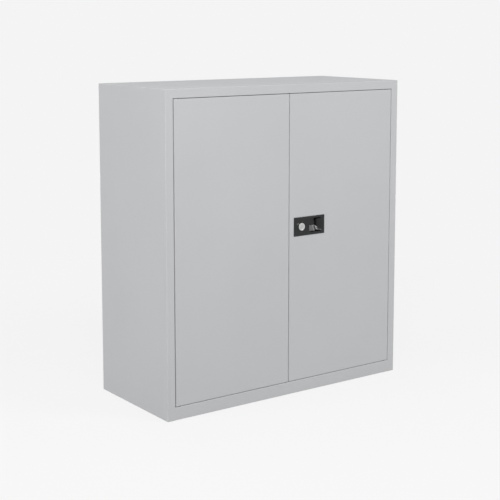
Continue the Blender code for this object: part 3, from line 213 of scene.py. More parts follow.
# Lock case: a dished face with a raised edge, on a tube with the barrel's hole
LOCK_FACE = -204.0 * MM
LOCK_RADIUS = 12.0 * MM
LOCK_EDGE = 11.0 * MM
LOCK_FLANGE_REAR = -202.5 * MM
DISH_OUTSIDE = (10.5 * MM, -203.75 * MM)
DISH_INSIDE = (6.3 * MM, -203.9 * MM)
TUBE_RADIUS = 9.5 * MM
TUBE_MIDDLE = -196.0 * MM
TUBE_REAR = -189.8 * MM
LOCK_RADII = np.array([0.0, 0.15, 0.3, 0.2, 0.4, 0.15, 0.15, 0.3, 0.2, 0.0]) * MM

# Barrel, and its keyway as rings that lie so far outside the keyway's half sizes at their levels
BARREL_RADIUS = 6.0 * MM
BARREL_FLAT = 4.6 * MM
BARREL_FACE = -203.95 * MM
BARREL_REAR = -189.5 * MM
BARREL_RADII = np.array([0.0, 0.3, 0.25, 0.0]) * MM
KEYWAY_HALF = np.array([0.8, 3.2]) * MM
KEYWAY_RINGS = np.array([(0.15, -203.95), (0.04, -203.9), (0.0, -203.8), (0.0, -201.0), (-0.7, -201.0)]) * MM
KEYWAY_STATIONS = (60, 200)

# Edges: the angle from which they are sharp, and the bevels and joined flats of the plain fittings
CREASE_ANGLE = math.radians(32.0)
SHEET_EDGE = 0.15 * MM
FITTING_EDGE = 0.25 * MM
EDGE_SEGMENTS = 2
EDGE_ANGLE = math.radians(35.0)
FLAT_ANGLE = math.radians(1.0)

# Colours, with a darker and a lighter tone for each finish, and the heights over which the painted shade of
# the door gaps sets in
PAINT_TONES = ((0.515, 0.521, 0.533, 1.0), (0.548, 0.554, 0.566, 1.0))
# The paler tone that the folds are blended toward is a painted highlight along the edges
PAINT_FOLD_HIGHLIGHT = (0.60, 0.605, 0.615, 1.0)
ZINC_TONES = ((0.40, 0.415, 0.44, 1.0), (0.50, 0.495, 0.47, 1.0))
MOULDING_TONES = ((0.006, 0.0065, 0.007, 1.0), (0.011, 0.0115, 0.012, 1.0))
NICKEL_TONES = ((0.53, 0.54, 0.52, 1.0), (0.62, 0.63, 0.61, 1.0))
NYLON_TONES = ((0.74, 0.73, 0.68, 1.0), (0.81, 0.80, 0.76, 1.0))
NYLON_GAP_SHADE = (0.05, 0.048, 0.044, 1.0)
RUBBER_TONES = ((0.018, 0.018, 0.019, 1.0), (0.042, 0.041, 0.040, 1.0))
GAP_SHADE_HEIGHTS = (463.2 * MM, 464.2 * MM)

# Studio in metres, and each lamp's place, aim, size and power
WORLD_LIGHT = 0.483
BACKGROUND = 0.905
FLOOR_COLOUR = 0.42
FLOOR_SHADOW = 0.16
FLOOR_LIFT = 0.765
FLOOR_FADE = (0.9, 2.2)
FLOOR_HALF = 30.0
FLOOR_LEVEL = -0.0004
FLOOR_POINTS = 5
LAMPS = {
    "key_lamp": ((-2.4, -3.2, 3.2), (0.0, 0.0, 0.6), (1.3, 1.3), 80.0),
    "right_lamp": ((2.2, -3.4, 2.6), (0.0, 0.0, 0.6), (1.3, 1.3), 53.0),
    "left_lamp": ((-4.0, 0.3, 1.6), (-0.4, 0.0, 0.5), (2.0, 2.0), 48.1),
    "front_lamp": ((-0.6, -3.8, 1.2), (0.0, 0.0, 0.5), (2.0, 1.6), 9.0),
    "rear_lamp": ((0.1, 4.2, 0.5), (0.0, 0.0, 0.5), (1.0, 0.8), 60.0),
    "side_lamp": ((4.2, 0.5, 0.5), (0.4, 0.0, 0.5), (1.0, 0.8), 30.0),
}

# Camera, with its lens and sensor in its own millimetres and its turn in degrees
CAMERA_LENS = 84.231
CAMERA_SENSOR = 36.0
CAMERA_SHIFT = -0.15
CAMERA_REACH = 200.0
CAMERA_PLACE = (-2.24235, -3.09196, 1.19041)
CAMERA_TURN = (82.5850, 0.0, -35.8457)


# Shapes


def unit(vector):
    return vector / np.linalg.norm(vector)


def left_of(heading):
    return np.stack([-heading[..., 1], heading[..., 0]], axis=-1)


def grid_cells(rows, columns, ring):
    """Corner numbers of every cell of a grid of points. A ring joins the last column to the first."""
    number = np.arange(rows * columns).reshape(rows, columns)
    if ring:
        number = np.hstack([number, number[:, :1]])
    return np.stack([number[:-1, :-1], number[:-1, 1:], number[1:, 1:], number[1:, :-1]], axis=-1)


def sheet(front, back, keep=None, ring=False, joined=()):
    """A sheet between two grids of points (rows, columns, 4).

    keep tells from the middles of the front grid's cells which of them are metal. Wherever a metal cell has
    no metal neighbour, a strip from the front grid to the back grid closes the edge, but not on the border
    sides named in joined.
    """
    rows, columns = front.shape[:2]
    cells = grid_cells(rows, columns, ring)
    metal = np.ones(cells.shape[:2], bool) if keep is None else keep(cell_middles(front, ring))
    count = rows * columns
    beyond = np.pad(metal, 1)
    if ring:
        beyond[1:-1, 0] = metal[:, -1]
        beyond[1:-1, -1] = metal[:, 0]
    borders = {"first": beyond[0], "last": beyond[-1], "left": beyond[:, 0], "right": beyond[:, -1]}
    for side in joined:
        borders[side][:] = True
    faces = [cells[metal], cells[metal][:, ::-1] + count]
    neighbours = (beyond[:-2, 1:-1], beyond[1:-1, 2:], beyond[2:, 1:-1], beyond[1:-1, :-2])
    for start, neighbour in enumerate(neighbours):
        edge = cells[metal & ~neighbour]
        near = edge[:, start]
        far = edge[:, (start + 1) % 4]
        faces.append(np.stack([far, near, near + count, far + count], axis=-1))
    return np.vstack([front.reshape(-1, 4), back.reshape(-1, 4)]), np.vstack(faces)


def loft(rings, first=False, last=False):
    """Closed loops (rows, points, 4) joined one to the next. first and last close an end to its middle."""
    if first:
        rings = np.concatenate([np.broadcast_to(rings[0].mean(0), rings[:1].shape), rings])
    if last:
        rings = np.concatenate([rings, np.broadcast_to(rings[-1].mean(0), rings[:1].shape)])
    rows, columns = rings.shape[:2]
    return rings.reshape(-1, 4), grid_cells(rows, columns, True).reshape(-1, 4)


def shell(*surfaces):
    """Welds surfaces that meet into one closed shell, and drops cells with no area."""
    starts = np.cumsum([0] + [len(points) for points, _ in surfaces])
    points = np.vstack([points for points, _ in surfaces])
    faces = np.vstack([faces + start for (_, faces), start in zip(surfaces, starts)])
    points, index = welded(points)
    faces = index[faces]
    same = faces == np.roll(faces, -1, axis=1)
    count = same.sum(axis=1)
    quads = faces[count == 0]
    quads = quads[(quads[:, 0] != quads[:, 2]) & (quads[:, 1] != quads[:, 3])]
    turn = np.argmax(same[count == 1], axis=1)[:, None] + np.array([1, 2, 3])
    triangles = np.take_along_axis(faces[count == 1], turn % 4, axis=1)
    triangles = triangles[triangles[:, 0] != triangles[:, 2]]
    used = np.unique(np.concatenate([quads.ravel(), triangles.ravel()]))
    renumber = np.zeros(len(points), np.int64)
    renumber[used] = np.arange(len(used))
    return points[used], renumber[quads], renumber[triangles]


def welded(points):
    """Points that fall in the same tiny cell made one, and for each old point the number of its new one."""
    keys = np.floor(points[:, :3] / WELD_STEP + WELD_OFFSET).astype(np.int64)
    _, first, index = np.unique(keys, axis=0, return_index=True, return_inverse=True)
    return points[first], index.reshape(-1)


def mirrored(part):
    """The same shell on the other side of the middle plane."""
    points, quads, triangles = part
    return points * np.array([-1.0, 1.0, 1.0, 1.0]), quads, triangles


def mesh_object(name, shells):
    """A mesh at the origin from closed shells. Each point's fourth value is kept as the fold attribute."""
    starts = np.cumsum([0] + [len(points) for points, _, _ in shells])
    points = np.vstack([points for points, _, _ in shells])
    faces = []
    for (_, quads, triangles), start in zip(shells, starts):
        faces += (quads + start).tolist() + (triangles + start).tolist()
    mesh = bpy.data.meshes.new(name)
    mesh.from_pydata(points[:, :3].tolist(), [], faces)
    turn_outward(mesh)
    fold = mesh.attributes.new("fold", "FLOAT", "POINT")
    fold.data.foreach_set("value", points[:, 3].astype(np.float32))
    return shown(name, mesh)


def turn_outward(mesh):
    """Makes the faces of every closed shell point outward."""
    work = bmesh.new()
    work.from_mesh(mesh)
    bmesh.ops.recalc_face_normals(work, faces=work.faces)
    work.to_mesh(mesh)
    work.free()
    mesh.update()


def shown(name, mesh):
    """Puts a mesh in the scene, smooth but for its sharp edges."""
    mesh.shade_smooth()
    mesh.set_sharp_from_angle(angle=CREASE_ANGLE)
    return in_scene(name, mesh)


def in_scene(name, data):
    """A new object in the scene."""
    obj = bpy.data.objects.new(name, data)
    bpy.context.scene.collection.objects.link(obj)
    return obj


def punch(obj, cutters):
    """Cuts round holes with closed shells, and keeps the result as the mesh."""
    cutter = mesh_object(obj.name + "_punch", cutters)
    step = obj.modifiers.new("punch", "BOOLEAN")
    step.operation = "DIFFERENCE"
    step.solver = "EXACT"
    step.object = cutter
    graph = bpy.context.evaluated_depsgraph_get()
    cut = bpy.data.meshes.new_from_object(obj.evaluated_get(graph))
    obj.modifiers.clear()
    plain = obj.data
    obj.data = cut
    bpy.data.objects.remove(cutter, do_unlink=True)
    bpy.data.meshes.remove(plain)
    cut.set_sharp_from_angle(angle=CREASE_ANGLE)


def finished(obj, body, slot, node):
    """Gives a piece its body, its finish and the CAD node that it stands for."""
    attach(obj, body)
    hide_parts(node)
    obj.data.materials.clear()
    obj.data.materials.append(finishes[slot])
    dressed.add(node)


def painted(name, shells, body, node, holes=()):
    """A piece of painted sheet, with round holes punched through it."""
    obj = mesh_object(name, shells)
    if holes:
        punch(obj, holes)
    finished(obj, body, "grey_powder_coat", node)


def folded_line(corners, gauge, radii=None, margin=FOLD_MARGIN):
    """A line in a plane with its corners folded, and the line at the sheet's other side.

    The sheet lies to the left of the line, or to its right where the gauge is below zero. Without radii a
    corner takes the inside bend, or the bend and the gauge where the line is the sheet's outer side there.
    Returns both lines, and 1 on the arcs and 0 elsewhere.
    """
    corners = np.asarray(corners, float)
    radii = [None] * len(corners) if radii is None else radii
    ways = [unit(onward) for onward in np.diff(corners, axis=0)]
    parts = [(corners[:1], corners[:1] + gauge * left_of(ways[0]), np.zeros(1))]
    for i in range(1, len(corners) - 1):
        parts.append(fold_at(corners[i], ways[i - 1], ways[i], gauge, radii[i], margin))
    parts.append((corners[-1:], corners[-1:] + gauge * left_of(ways[-1]), np.zeros(1)))
    near, far, folds = zip(*parts)
    return np.vstack(near), np.vstack(far), np.concatenate(folds)


def fold_at(corner, along, onward, gauge, radius, margin):
    """The points of a folded line at one corner, on both sides of the sheet.

    The line turns on an arc: start + along * r sin a + inward * r (1 - cos a). A narrow strip beside it
    keeps the flats flat where the shading is smooth. A sheet thicker than the radius has a sharp inside.
    """
    turn = math.atan2(along[0] * onward[1] - along[1] * onward[0], along @ onward)
    if abs(turn) < STRAIGHT:
        return corner[None], corner[None] + gauge * left_of(along), np.zeros(1)
    outer = turn * gauge > 0
    if radius is None:
        radius = INSIDE_BEND + (abs(gauge) if outer else 0.0)
    reach = radius * math.tan(abs(turn) / 2)
    strip = reach + min(margin, radius)
    angle = np.linspace(0.0, abs(turn), FOLD_STEPS + 1)[:, None]
    inward = left_of(along) * math.copysign(1.0, turn)
    arc = corner - along * reach + along * radius * np.sin(angle) + inward * radius * (1 - np.cos(angle))
    points = np.vstack([corner - along * strip, arc, corner + onward * strip])
    ways = np.vstack([along, along * np.cos(angle) + inward * np.sin(angle), onward])
    inner = points + gauge * left_of(ways)
    if outer and radius < abs(gauge):
        inner[:] = corner + gauge * (left_of(along) + left_of(onward)) / (1 + along @ onward)
    return points, inner, np.pad(np.ones(FOLD_STEPS + 1), 1)


def swept_grid(lines, folds, stations, axis):
    """Puts one line per station side by side: the line lies across the axis, and the station along it."""
    points = np.stack(lines, axis=1)
    along = np.broadcast_to(np.asarray(stations, float), points.shape[:2])
    order = {"x": (2, 0, 1), "y": (0, 2, 1), "z": (0, 1, 2)}[axis]
    columns = [points[..., 0], points[..., 1], along]
    return np.stack([columns[i] for i in order] + [np.stack(folds, axis=1)], axis=-1)


def folded_sheet(corners, stations, axis, gauge, radii=None, keep=None):
    """A sheet folded along its line, from station to station. radii may give each station its own radii."""
    radii = radii or [None] * len(stations)
    near, far, folds = zip(*[folded_line(corners, gauge, bends) for bends in radii])
    return shell(sheet(*[swept_grid(lines, folds, stations, axis) for lines in (near, far)], keep))


def cell_middles(grid, ring):
    """The middle of each cell of a grid of points."""
    if ring:
        grid = np.hstack([grid, grid[:, :1]])
    return (grid[:-1, :-1] + grid[1:, 1:]) / 2


def within(middles, column, span):
    """Which cell middles lie in a span of x, y or z."""
    return (middles[..., column] > span[0]) & (middles[..., column] < span[1])


def rounded_ring(low, high, radius, steps, across, upward):
    """A rectangle with rounded corners, anticlockwise, with the same count of points at any radius.

    Each corner turns on an arc of the radius. across and upward place the points between the arcs.
    """
    angle = np.linspace(0.0, QUARTER, steps + 1)
    sine, cosine = np.sin(angle) * radius, np.cos(angle) * radius
    left, bottom = low[0] + radius, low[1] + radius
    right, top = high[0] - radius, high[1] - radius
    along, up = np.ones(len(across)), np.ones(len(upward))
    a = [across, right + sine, high[0] * up, right + cosine]
    a += [across[::-1], left - sine, low[0] * up, left - cosine]
    b = [low[1] * along, bottom - cosine, upward, top + sine]
    b += [high[1] * along, top + cosine, upward[::-1], bottom - sine]
    return np.stack([np.concatenate(a), np.concatenate(b)], axis=1)


def tray(low, high, section, gauge, across, upward, keep_face=None, keep_wall=None):
    """A tray in its own axes (a, b, depth): a flat face, and a wall folded round all four edges.

    The section is a line of (inset, depth) from the face to the lip.
    """
    outer, inner, fold = folded_line(section, -gauge)
    radius = gauge + INSIDE_BEND
    walls = [tray_rings(low, high, line, fold, radius, across, upward) for line in (outer, inner)]
    wall = sheet(*walls, keep_wall, ring=True, joined=("first",))
    inset = outer[0][0]
    a = np.array([low[0] + inset, *across, high[0] - inset])
    b = np.array([low[1] + inset, *upward, high[1] - inset])
    faces = [flat_grid(a, b, depth) for depth in (0.0, gauge)]
    return wall, sheet(*faces, keep_face, joined=("first", "last", "left", "right"))


def tray_rings(low, high, line, fold, radius, across, upward):
    """Rings round the tray, one for each (inset, depth) of a line, each with what is left of the radius."""
    rings = []
    for (inset, depth), value in zip(line, fold):
        near = np.add(low, inset)
        far = np.subtract(high, inset)
        ring = rounded_ring(near, far, max(radius - inset, 0.0), CORNER_STEPS, across, upward)
        rings.append(np.column_stack([ring, np.full(len(ring), depth), np.full(len(ring), value)]))
    return np.stack(rings)


def flat_grid(a, b, depth):
    """A flat grid of points at one depth."""
    grid = np.zeros((len(b), len(a), 4))
    grid[..., 0] = a
    grid[..., 1] = b[:, None]
    grid[..., 2] = depth
    return grid


def in_place(surfaces, order, signs, shift):
    """A shell in x, y and z from surfaces in (a, b, depth), each taking its column by sign and shift."""
    placed = []
    for points, faces in surfaces:
        moved = points[:, list(order)] * signs + shift
        placed.append((np.column_stack([moved, points[:, 3]]), faces))
    return shell(*placed)


def circles(line, centre, axis, angle):
    """Rings round an axis: centre + radius (cos a, sin a) for each (radius, along) of a line."""
    radius = line[:, :1]
    along = np.broadcast_to(line[:, 1:2], (len(line), len(angle)))
    first = centre[0] + radius * np.cos(angle)
    second = centre[1] + radius * np.sin(angle)
    columns = (first, along, second) if axis == "y" else (first, second, along)
    return np.stack([*columns, np.zeros(along.shape)], axis=-1)


def turned(corners, centre, axis, radii):
    """A line of (radius, along) with softened corners, turned round an axis. Closed, it is a hollow ring."""
    line = folded_line(corners, 0.0, np.broadcast_to(radii, len(corners)), TURN_MARGIN)[0]
    angle = np.arange(TURN_COUNT) * 2 * math.pi / TURN_COUNT
    return shell(loft(circles(line, centre, axis, angle)))


def rod(centre, axis, radius, low, high, edge):
    """A round bar with softened ends."""
    return turned([(0.0, low), (radius, low), (radius, high), (0.0, high)], centre, axis, edge)


# Finishes


def set_inputs(node, inputs):
    """Gives each input of a node a value, or joins it to another node's output."""
    for socket, value in inputs.items():
        if isinstance(value, bpy.types.NodeSocket):
            node.id_data.links.new(value, node.inputs[socket])
        else:
            node.inputs[socket].default_value = value


def added(tree, kind, inputs, **settings):
    """The outputs of a new node with its settings and inputs."""
    node = tree.nodes.new(kind)
    for setting, value in settings.items():
        setattr(node, setting, value)
    set_inputs(node, inputs)
    return node.outputs


def noise(tree, place, scale, detail, roughness=0.5):
    """A noise pattern on the given place."""
    inputs = {"Vector": place, "Scale": scale, "Detail": detail, "Roughness": roughness}
    return added(tree, "ShaderNodeTexNoise", inputs)["Fac"]


def spread(tree, value, low, high, from_low=0.3, from_high=0.7):
    """Maps a pattern to the range from low to high."""
    inputs = {"Value": value, "From Min": from_low, "From Max": from_high, "To Min": low, "To Max": high}
    return added(tree, "ShaderNodeMapRange", inputs)["Result"]


def combined(tree, first, second, operation="ADD"):
    """Two values, or a value and a number, made one by an operation."""
    return added(tree, "ShaderNodeMath", {0: first, 1: second}, operation=operation)["Value"]


def distance(tree, place):
    """How far a place lies from the origin."""
    return added(tree, "ShaderNodeVectorMath", {0: place}, operation="LENGTH")["Value"]


def blended(tree, factor, under, upper):
    """A colour laid over another one by a factor."""
    inputs = {"Factor": factor, "A": under, "B": upper}
    return added(tree, "ShaderNodeMix", inputs, data_type="RGBA")["Result"]


def toned(tree, pattern, tones):
    """A colour that drifts between two tones with a pattern."""
    return blended(tree, spread(tree, pattern, 0.0, 1.0), *tones)


def relief(tree, height, depth, strength):
    """A normal bumped by a height pattern, depth being the metres that its whole range stands for."""
    inputs = {"Height": height, "Distance": depth, "Strength": strength}
    return added(tree, "ShaderNodeBump", inputs)["Normal"]


def new_material(name):
    """A new material with its node tree and the place where its patterns are read."""
    material = bpy.data.materials.new(name)
    material.use_nodes = True
    tree = material.node_tree
    return material, tree, added(tree, "ShaderNodeTexCoord", {})["Object"]


def material_from(make):
    """A material with the name and the shader inputs of the function that makes them."""
    material, tree, place = new_material(make.__name__)
    set_inputs(tree.nodes["Principled BSDF"], make(tree, place))
    return material


def grey_powder_coat(tree, place):
    """Satin powder coat: orange peel, speckle and a slow drift of tone; glossier on the folds, and paler
    there as a painted highlight.
    """
    fold = added(tree, "ShaderNodeAttribute", {}, attribute_name="fold")["Fac"]
    cloud = spread(tree, noise(tree, place, scale=3.0, detail=3.0), 0.0, 0.5)
    speckle = spread(tree, noise(tree, place, scale=1900.0, detail=2.0, roughness=0.7), 0.0, 0.5)
    paint = blended(tree, combined(tree, cloud, speckle), *PAINT_TONES)
    mottle = spread(tree, noise(tree, place, scale=42.0, detail=4.0, roughness=0.6), 0.50, 0.58)
    peel = noise(tree, place, scale=620.0, detail=2.0, roughness=0.4)
    return {
        # The folds are blended toward a paler tone: a painted highlight
        "Base Color": blended(tree, combined(tree, fold, 0.10, "MULTIPLY"), paint, PAINT_FOLD_HIGHLIGHT),
        "Roughness": combined(tree, mottle, combined(tree, fold, 0.08, "MULTIPLY"), "SUBTRACT"),
        "Normal": relief(tree, peel, depth=0.04 * MM, strength=0.6),
        "Specular IOR Level": 0.45,
    }


def zinc_plated_steel(tree, place):
    """Bright zinc: faint crystals, a bluish and straw drift, and a fine grain."""
    drift = noise(tree, place, scale=60.0, detail=3.0, roughness=0.6)
    crystal = added(tree, "ShaderNodeTexVoronoi", {"Vector": place, "Scale": 340.0})["Distance"]
    grain = noise(tree, place, scale=900.0, detail=3.0, roughness=0.6)
    return {
        "Base Color": toned(tree, drift, ZINC_TONES),
        "Roughness": spread(tree, crystal, 0.28, 0.44, 0.0, 0.8),
        "Normal": relief(tree, grain, depth=0.02 * MM, strength=0.5),
        "Metallic": 1.0,
    }


def black_moulding(tree, place):
    """Moulded black plastic: a faint cloud of tone, patches of softer gloss and a fine spark texture."""
    cloud = noise(tree, place, scale=55.0, detail=3.0)
    patch = noise(tree, place, scale=210.0, detail=4.0, roughness=0.6)
    spark = noise(tree, place, scale=2600.0, detail=3.0, roughness=0.6)
    return {
        "Base Color": toned(tree, cloud, MOULDING_TONES),
        "Roughness": spread(tree, patch, 0.15, 0.22),
        "Normal": relief(tree, spark, depth=0.02 * MM, strength=0.5),
        "Specular IOR Level": 0.40,
    }


def nickel_plate(tree, place):
    """Satin nickel, turned: fine rings round the lock's middle and a soft mottle."""
    middle = {"Location": (-LOCK_MIDDLE[0], 0.0, -LOCK_MIDDLE[1]), "Scale": (1.0, 0.0, 1.0)}
    centred = added(tree, "ShaderNodeMapping", {"Vector": place, **middle})["Vector"]
    inputs = {"W": distance(tree, centred), "Scale": 5200.0, "Detail": 2.0}
    rings = added(tree, "ShaderNodeTexNoise", inputs, noise_dimensions="1D")["Fac"]
    mottle = noise(tree, place, scale=260.0, detail=4.0, roughness=0.6)
    return {
        "Base Color": toned(tree, mottle, NICKEL_TONES),
        "Roughness": spread(tree, rings, 0.24, 0.38),
        "Normal": relief(tree, rings, depth=0.03 * MM, strength=0.6),
        "Metallic": 1.0,
    }


def white_nylon(tree, place):
    """Natural moulded nylon, a little cloudy, with painted shade on the rims of the bushes in the door gaps.

    The rims are the only nylon that lies so far above or below the doors' middle.
    """
    cloud = noise(tree, place, scale=120.0, detail=3.0)
    height = added(tree, "ShaderNodeSeparateXYZ", {"Vector": place})["Z"]
    away = combined(tree, combined(tree, height, DOOR_MIDDLE, "SUBTRACT"), 0.0, "ABSOLUTE")
    # Painted shade: the bush rims that sit in the door gaps, beyond these heights, turn dark
    gap_shade = spread(tree, away, 0.0, 1.0, *GAP_SHADE_HEIGHTS)
    grain = noise(tree, place, scale=1500.0, detail=2.0)
    return {
        "Base Color": blended(tree, gap_shade, toned(tree, cloud, NYLON_TONES), NYLON_GAP_SHADE),
        "Roughness": spread(tree, cloud, 0.40, 0.52),
        "Normal": relief(tree, grain, depth=0.02 * MM, strength=0.5),
    }


def black_rubber(tree, place):
    """Matt rubber with a dusty bloom."""
    bloom = noise(tree, place, scale=300.0, detail=4.0, roughness=0.6)
    grain = noise(tree, place, scale=1800.0, detail=3.0)
    return {
        "Base Color": toned(tree, bloom, RUBBER_TONES),
        "Roughness": spread(tree, bloom, 0.78, 0.92),
        "Normal": relief(tree, grain, depth=0.04 * MM, strength=0.6),
    }


# Body


def side_sheets():
    """Each side, one sheet from the stile's lip round the stile and the side to the rear flange.

    Where the rail and the plinth meet the stile its edge is ground square, so that the frame reads as one.
    """
    line = [(OPENING_SIDE + STILE_LIP, STILE_BACK), (OPENING_SIDE, STILE_BACK), (OPENING_SIDE, FRONT)]
    line += [(SIDE, FRONT), (SIDE, REAR), (SIDE - REAR_FLANGE, REAR)]
    fold = BODY_SHEET + INSIDE_BEND
    open_edge = [fold] * len(line)
    ground = [fold, fold, GROUND_EDGE, fold, fold, fold]
    stations = [0.0, PLINTH, PLINTH, OPENING_TOP, OPENING_TOP, TOP - LID_SKIRT]
    radii = [ground, ground, open_edge, open_edge, ground, ground]
    right = folded_sheet(line, stations, "z", BODY_SHEET, radii)
    painted("left_side_sheet", [mirrored(right)], "carcass", "left_side_panel")
    painted("right_side_sheet", [right], "carcass", "right_side_panel")


def lid():
    """The top with its folded edge, the front rail under it with its return and lip, and the rear flange."""
    skirt = [(FOLD_START, 0.0), (0.0, 0.0), (0.0, LID_SKIRT)]
    top = tray((-SIDE, FRONT), (SIDE, REAR), skirt, BODY_SHEET, [0.0], [0.0])
    line = [(FRONT, TOP - LID_SKIRT), (FRONT, OPENING_TOP), (ROD_HOLE[0], OPENING_TOP)]
    line += [(ROD_HOLE[1], OPENING_TOP), (RAIL_BACK, OPENING_TOP), (RAIL_BACK, OPENING_TOP + RAIL_LIP)]
    stations = [-OPENING_SIDE, *UPPER_ROD_HOLE, OPENING_SIDE]
    rail = folded_sheet(line, stations, "x", BODY_SHEET, keep=lambda at: ~rod_hole(at, UPPER_ROD_HOLE))
    half = SIDE - REAR_FLANGE - 2 * INSIDE_BEND
    line = [(REAR, TOP - REAR_FLANGE), (REAR, TOP - LID_SKIRT)]
    flange = folded_sheet(line, [-half, half], "x", BODY_SHEET)
    shells = [in_place(top, (0, 1, 2), (1, 1, -1), (0, 0, TOP)), rail, flange]
    painted("lid_and_rail", shells, "carcass", "top_panel", pin_bars(OPENING_TOP, PIN_HOLE))


def rod_hole(at, span):
    """Cells where a lock rod passes through a flat."""
    return within(at, 0, span) & within(at, 1, ROD_HOLE)


def pin_bars(level, radius):
    """Two bars on the hinge lines, through the sheet at a level."""
    ends = (level - 2 * BODY_SHEET, level + 2 * BODY_SHEET)
    return [rod((side * PIVOT[0], PIVOT[1]), "z", radius, *ends, GROUND_EDGE) for side in (-1, 1)]


def floor_and_plinth():
    """One sheet from the floor's rear flange over the floor and down the plinth to its foot."""
    line = [(FLOOR_REAR, PLINTH - FLOOR_FLANGE), (FLOOR_REAR, PLINTH), (FLOOR_NOTCH, PLINTH)]
    line += [(ROD_HOLE[1], PLINTH), (ROD_HOLE[0], PLINTH), (FRONT, PLINTH)]
    line += [(FRONT, 0.0), (FRONT + PLINTH_FOOT, 0.0)]
    stations = [-FLOOR_SIDE, -OPENING_SIDE, *LOWER_ROD_HOLE, OPENING_SIDE, FLOOR_SIDE]
    floor = folded_sheet(line, stations, "x", BODY_SHEET, keep=floor_cells)
    painted("floor_and_plinth", [floor], "carcass", "base_panel", pin_bars(PLINTH, PIN_HOLE))


def floor_cells(at):
    """The floor is full width behind the stiles, and only between them in front, less the rod hole."""
    between = within(at, 0, (-OPENING_SIDE, OPENING_SIDE))
    return (between | (at[..., 1] > FLOOR_NOTCH)) & ~rod_hole(at, LOWER_ROD_HOLE)


def door_stops():
    """Two angles, above and below, that the doors close on."""
    back = STOP_FACE + STOP_FLAT
    above = OPENING_TOP - STOP_CLEARANCE
    below = PLINTH + STOP_CLEARANCE
    upper = [(back, above), (STOP_FACE, above), (STOP_FACE, above - STOP_LEG)]
    lower = [(STOP_FACE, below + STOP_LEG), (STOP_FACE, below), (back, below)]
    for level, line in (("upper", upper), ("lower", lower)):
        angle = folded_sheet(line, [-STOP_HALF, STOP_HALF], "x", STOP_SHEET)
        painted(f"{level}_stop_angle", [angle], "carcass", f"{level}_door_stop")


def uprights():
    """Four channels, each with a ladder of slots for the shelf clips."""
    heights = FIRST_SLOT + SLOT_PITCH * np.arange(SLOT_COUNT)
    edges = np.stack([heights - SLOT_HALF_HEIGHT, heights + SLOT_HALF_HEIGHT], axis=1)
    stations = [UPRIGHT_ENDS[0], *edges.ravel(), UPRIGHT_ENDS[1]]
    for end, middle in UPRIGHT_MIDDLES.items():
        half = [(FLOOR_SIDE, UPRIGHT_HALF), (UPRIGHT_FACE, UPRIGHT_HALF), (UPRIGHT_FACE, SLOT_HALF_WIDTH)]
        line = [(x, middle + y) for x, y in half] + [(x, middle - y) for x, y in half[::-1]]
        right = folded_sheet(line, stations, "z", UPRIGHT_SHEET, keep=slot_cells(middle, heights))
        for side, part in (("left", mirrored(right)), ("right", right)):
            painted(f"{end}_{side}_slotted_upright", [part], "carcass", f"{end}_{side}_upright")


def slot_cells(middle, heights):
    """Cells of an upright that are metal: all but those across its middle and within a slot's height."""
    def keep(at):
        across = within(at, 1, (middle - SLOT_HALF_WIDTH, middle + SLOT_HALF_WIDTH))
        nearest = np.abs(at[..., 2:3] - heights).min(axis=-1)
        return ~(across & (nearest < SLOT_HALF_HEIGHT) & (at[..., 0] < UPRIGHT_FACE + UPRIGHT_SHEET))
    return keep


# Doors and shelf


def door_skins():
    """Two trays with returned edges. The right one has the handle's opening and the holes for the rods."""
    section = [(FOLD_START, 0.0), (0.0, 0.0), (0.0, ROD_HOLE[0] - FRONT), (0.0, ROD_HOLE[1] - FRONT)]
    section += [(0.0, DOOR_DEPTH), (DOOR_RETURN, DOOR_DEPTH)]
    low = (DOOR_MEETING, DOOR_BOTTOM)
    high = (DOOR_EDGE, DOOR_TOP)
    right_high = (RIGHT_DOOR_EDGE, DOOR_TOP)
    across = sorted([CUTOUT_LOW[0], *UPPER_ROD_HOLE, *LOWER_ROD_HOLE, CUTOUT_HIGH[0]])
    upward = [CUTOUT_LOW[1], CUTOUT_HIGH[1]]
    cut = tray(low, right_high, section, BODY_SHEET, across, upward, outside_cutout, outside_rod_holes)
    plain = tray(low, high, section, BODY_SHEET, across[:1], [DOOR_MIDDLE])
    right, left = [in_place(part, (0, 2, 1), (1, 1, 1), (0, FRONT, 0)) for part in (cut, plain)]
    bars = pin_bars(DOOR_BOTTOM, BUSH_HOLE) + pin_bars(DOOR_TOP, BUSH_HOLE)
    painted("right_door_tray", [right], "right_door", "right_door_skin", bars[1::2])
    painted("left_door_tray", [mirrored(left)], "left_door", "left_door_skin", bars[::2])


def outside_cutout(at):
    """Cells of the door's face round the handle's opening."""
    across, upward = zip(CUTOUT_LOW, CUTOUT_HIGH)
    return ~(within(at, 0, across) & within(at, 1, upward))


def outside_rod_holes(at):
    """Cells of the door's edges, in its own axes, less one hole above and one below."""
    deep = within(at, 2, (ROD_HOLE[0] - FRONT, ROD_HOLE[1] - FRONT))
    upper = within(at, 0, UPPER_ROD_HOLE) & (at[..., 1] > DOOR_MIDDLE)
    lower = within(at, 0, LOWER_ROD_HOLE) & (at[..., 1] < DOOR_MIDDLE)
    return ~(deep & (upper | lower))


def hat(low, high, foot, foot_level, crown_level):
    """The corners of a top-hat section, feet first."""
    line = [(low - foot, foot_level), (low, foot_level), (low, crown_level)]
    return line + [(high, crown_level), (high, foot_level), (high + foot, foot_level)]


def door_stiffeners():
    """A top-hat stiffener up the back of each door."""
    line = hat(HAT_LEFT, HAT_RIGHT, HAT_FOOT, HAT_FOOT_LEVEL, HAT_CROWN_LEVEL)[::-1]
    right = folded_sheet(line, HAT_ENDS, "z", BODY_SHEET)
    for side, part in (("left", mirrored(right)), ("right", right)):
        painted(f"{side}_door_hat", [part], f"{side}_door", f"{side}_door_stiffener")


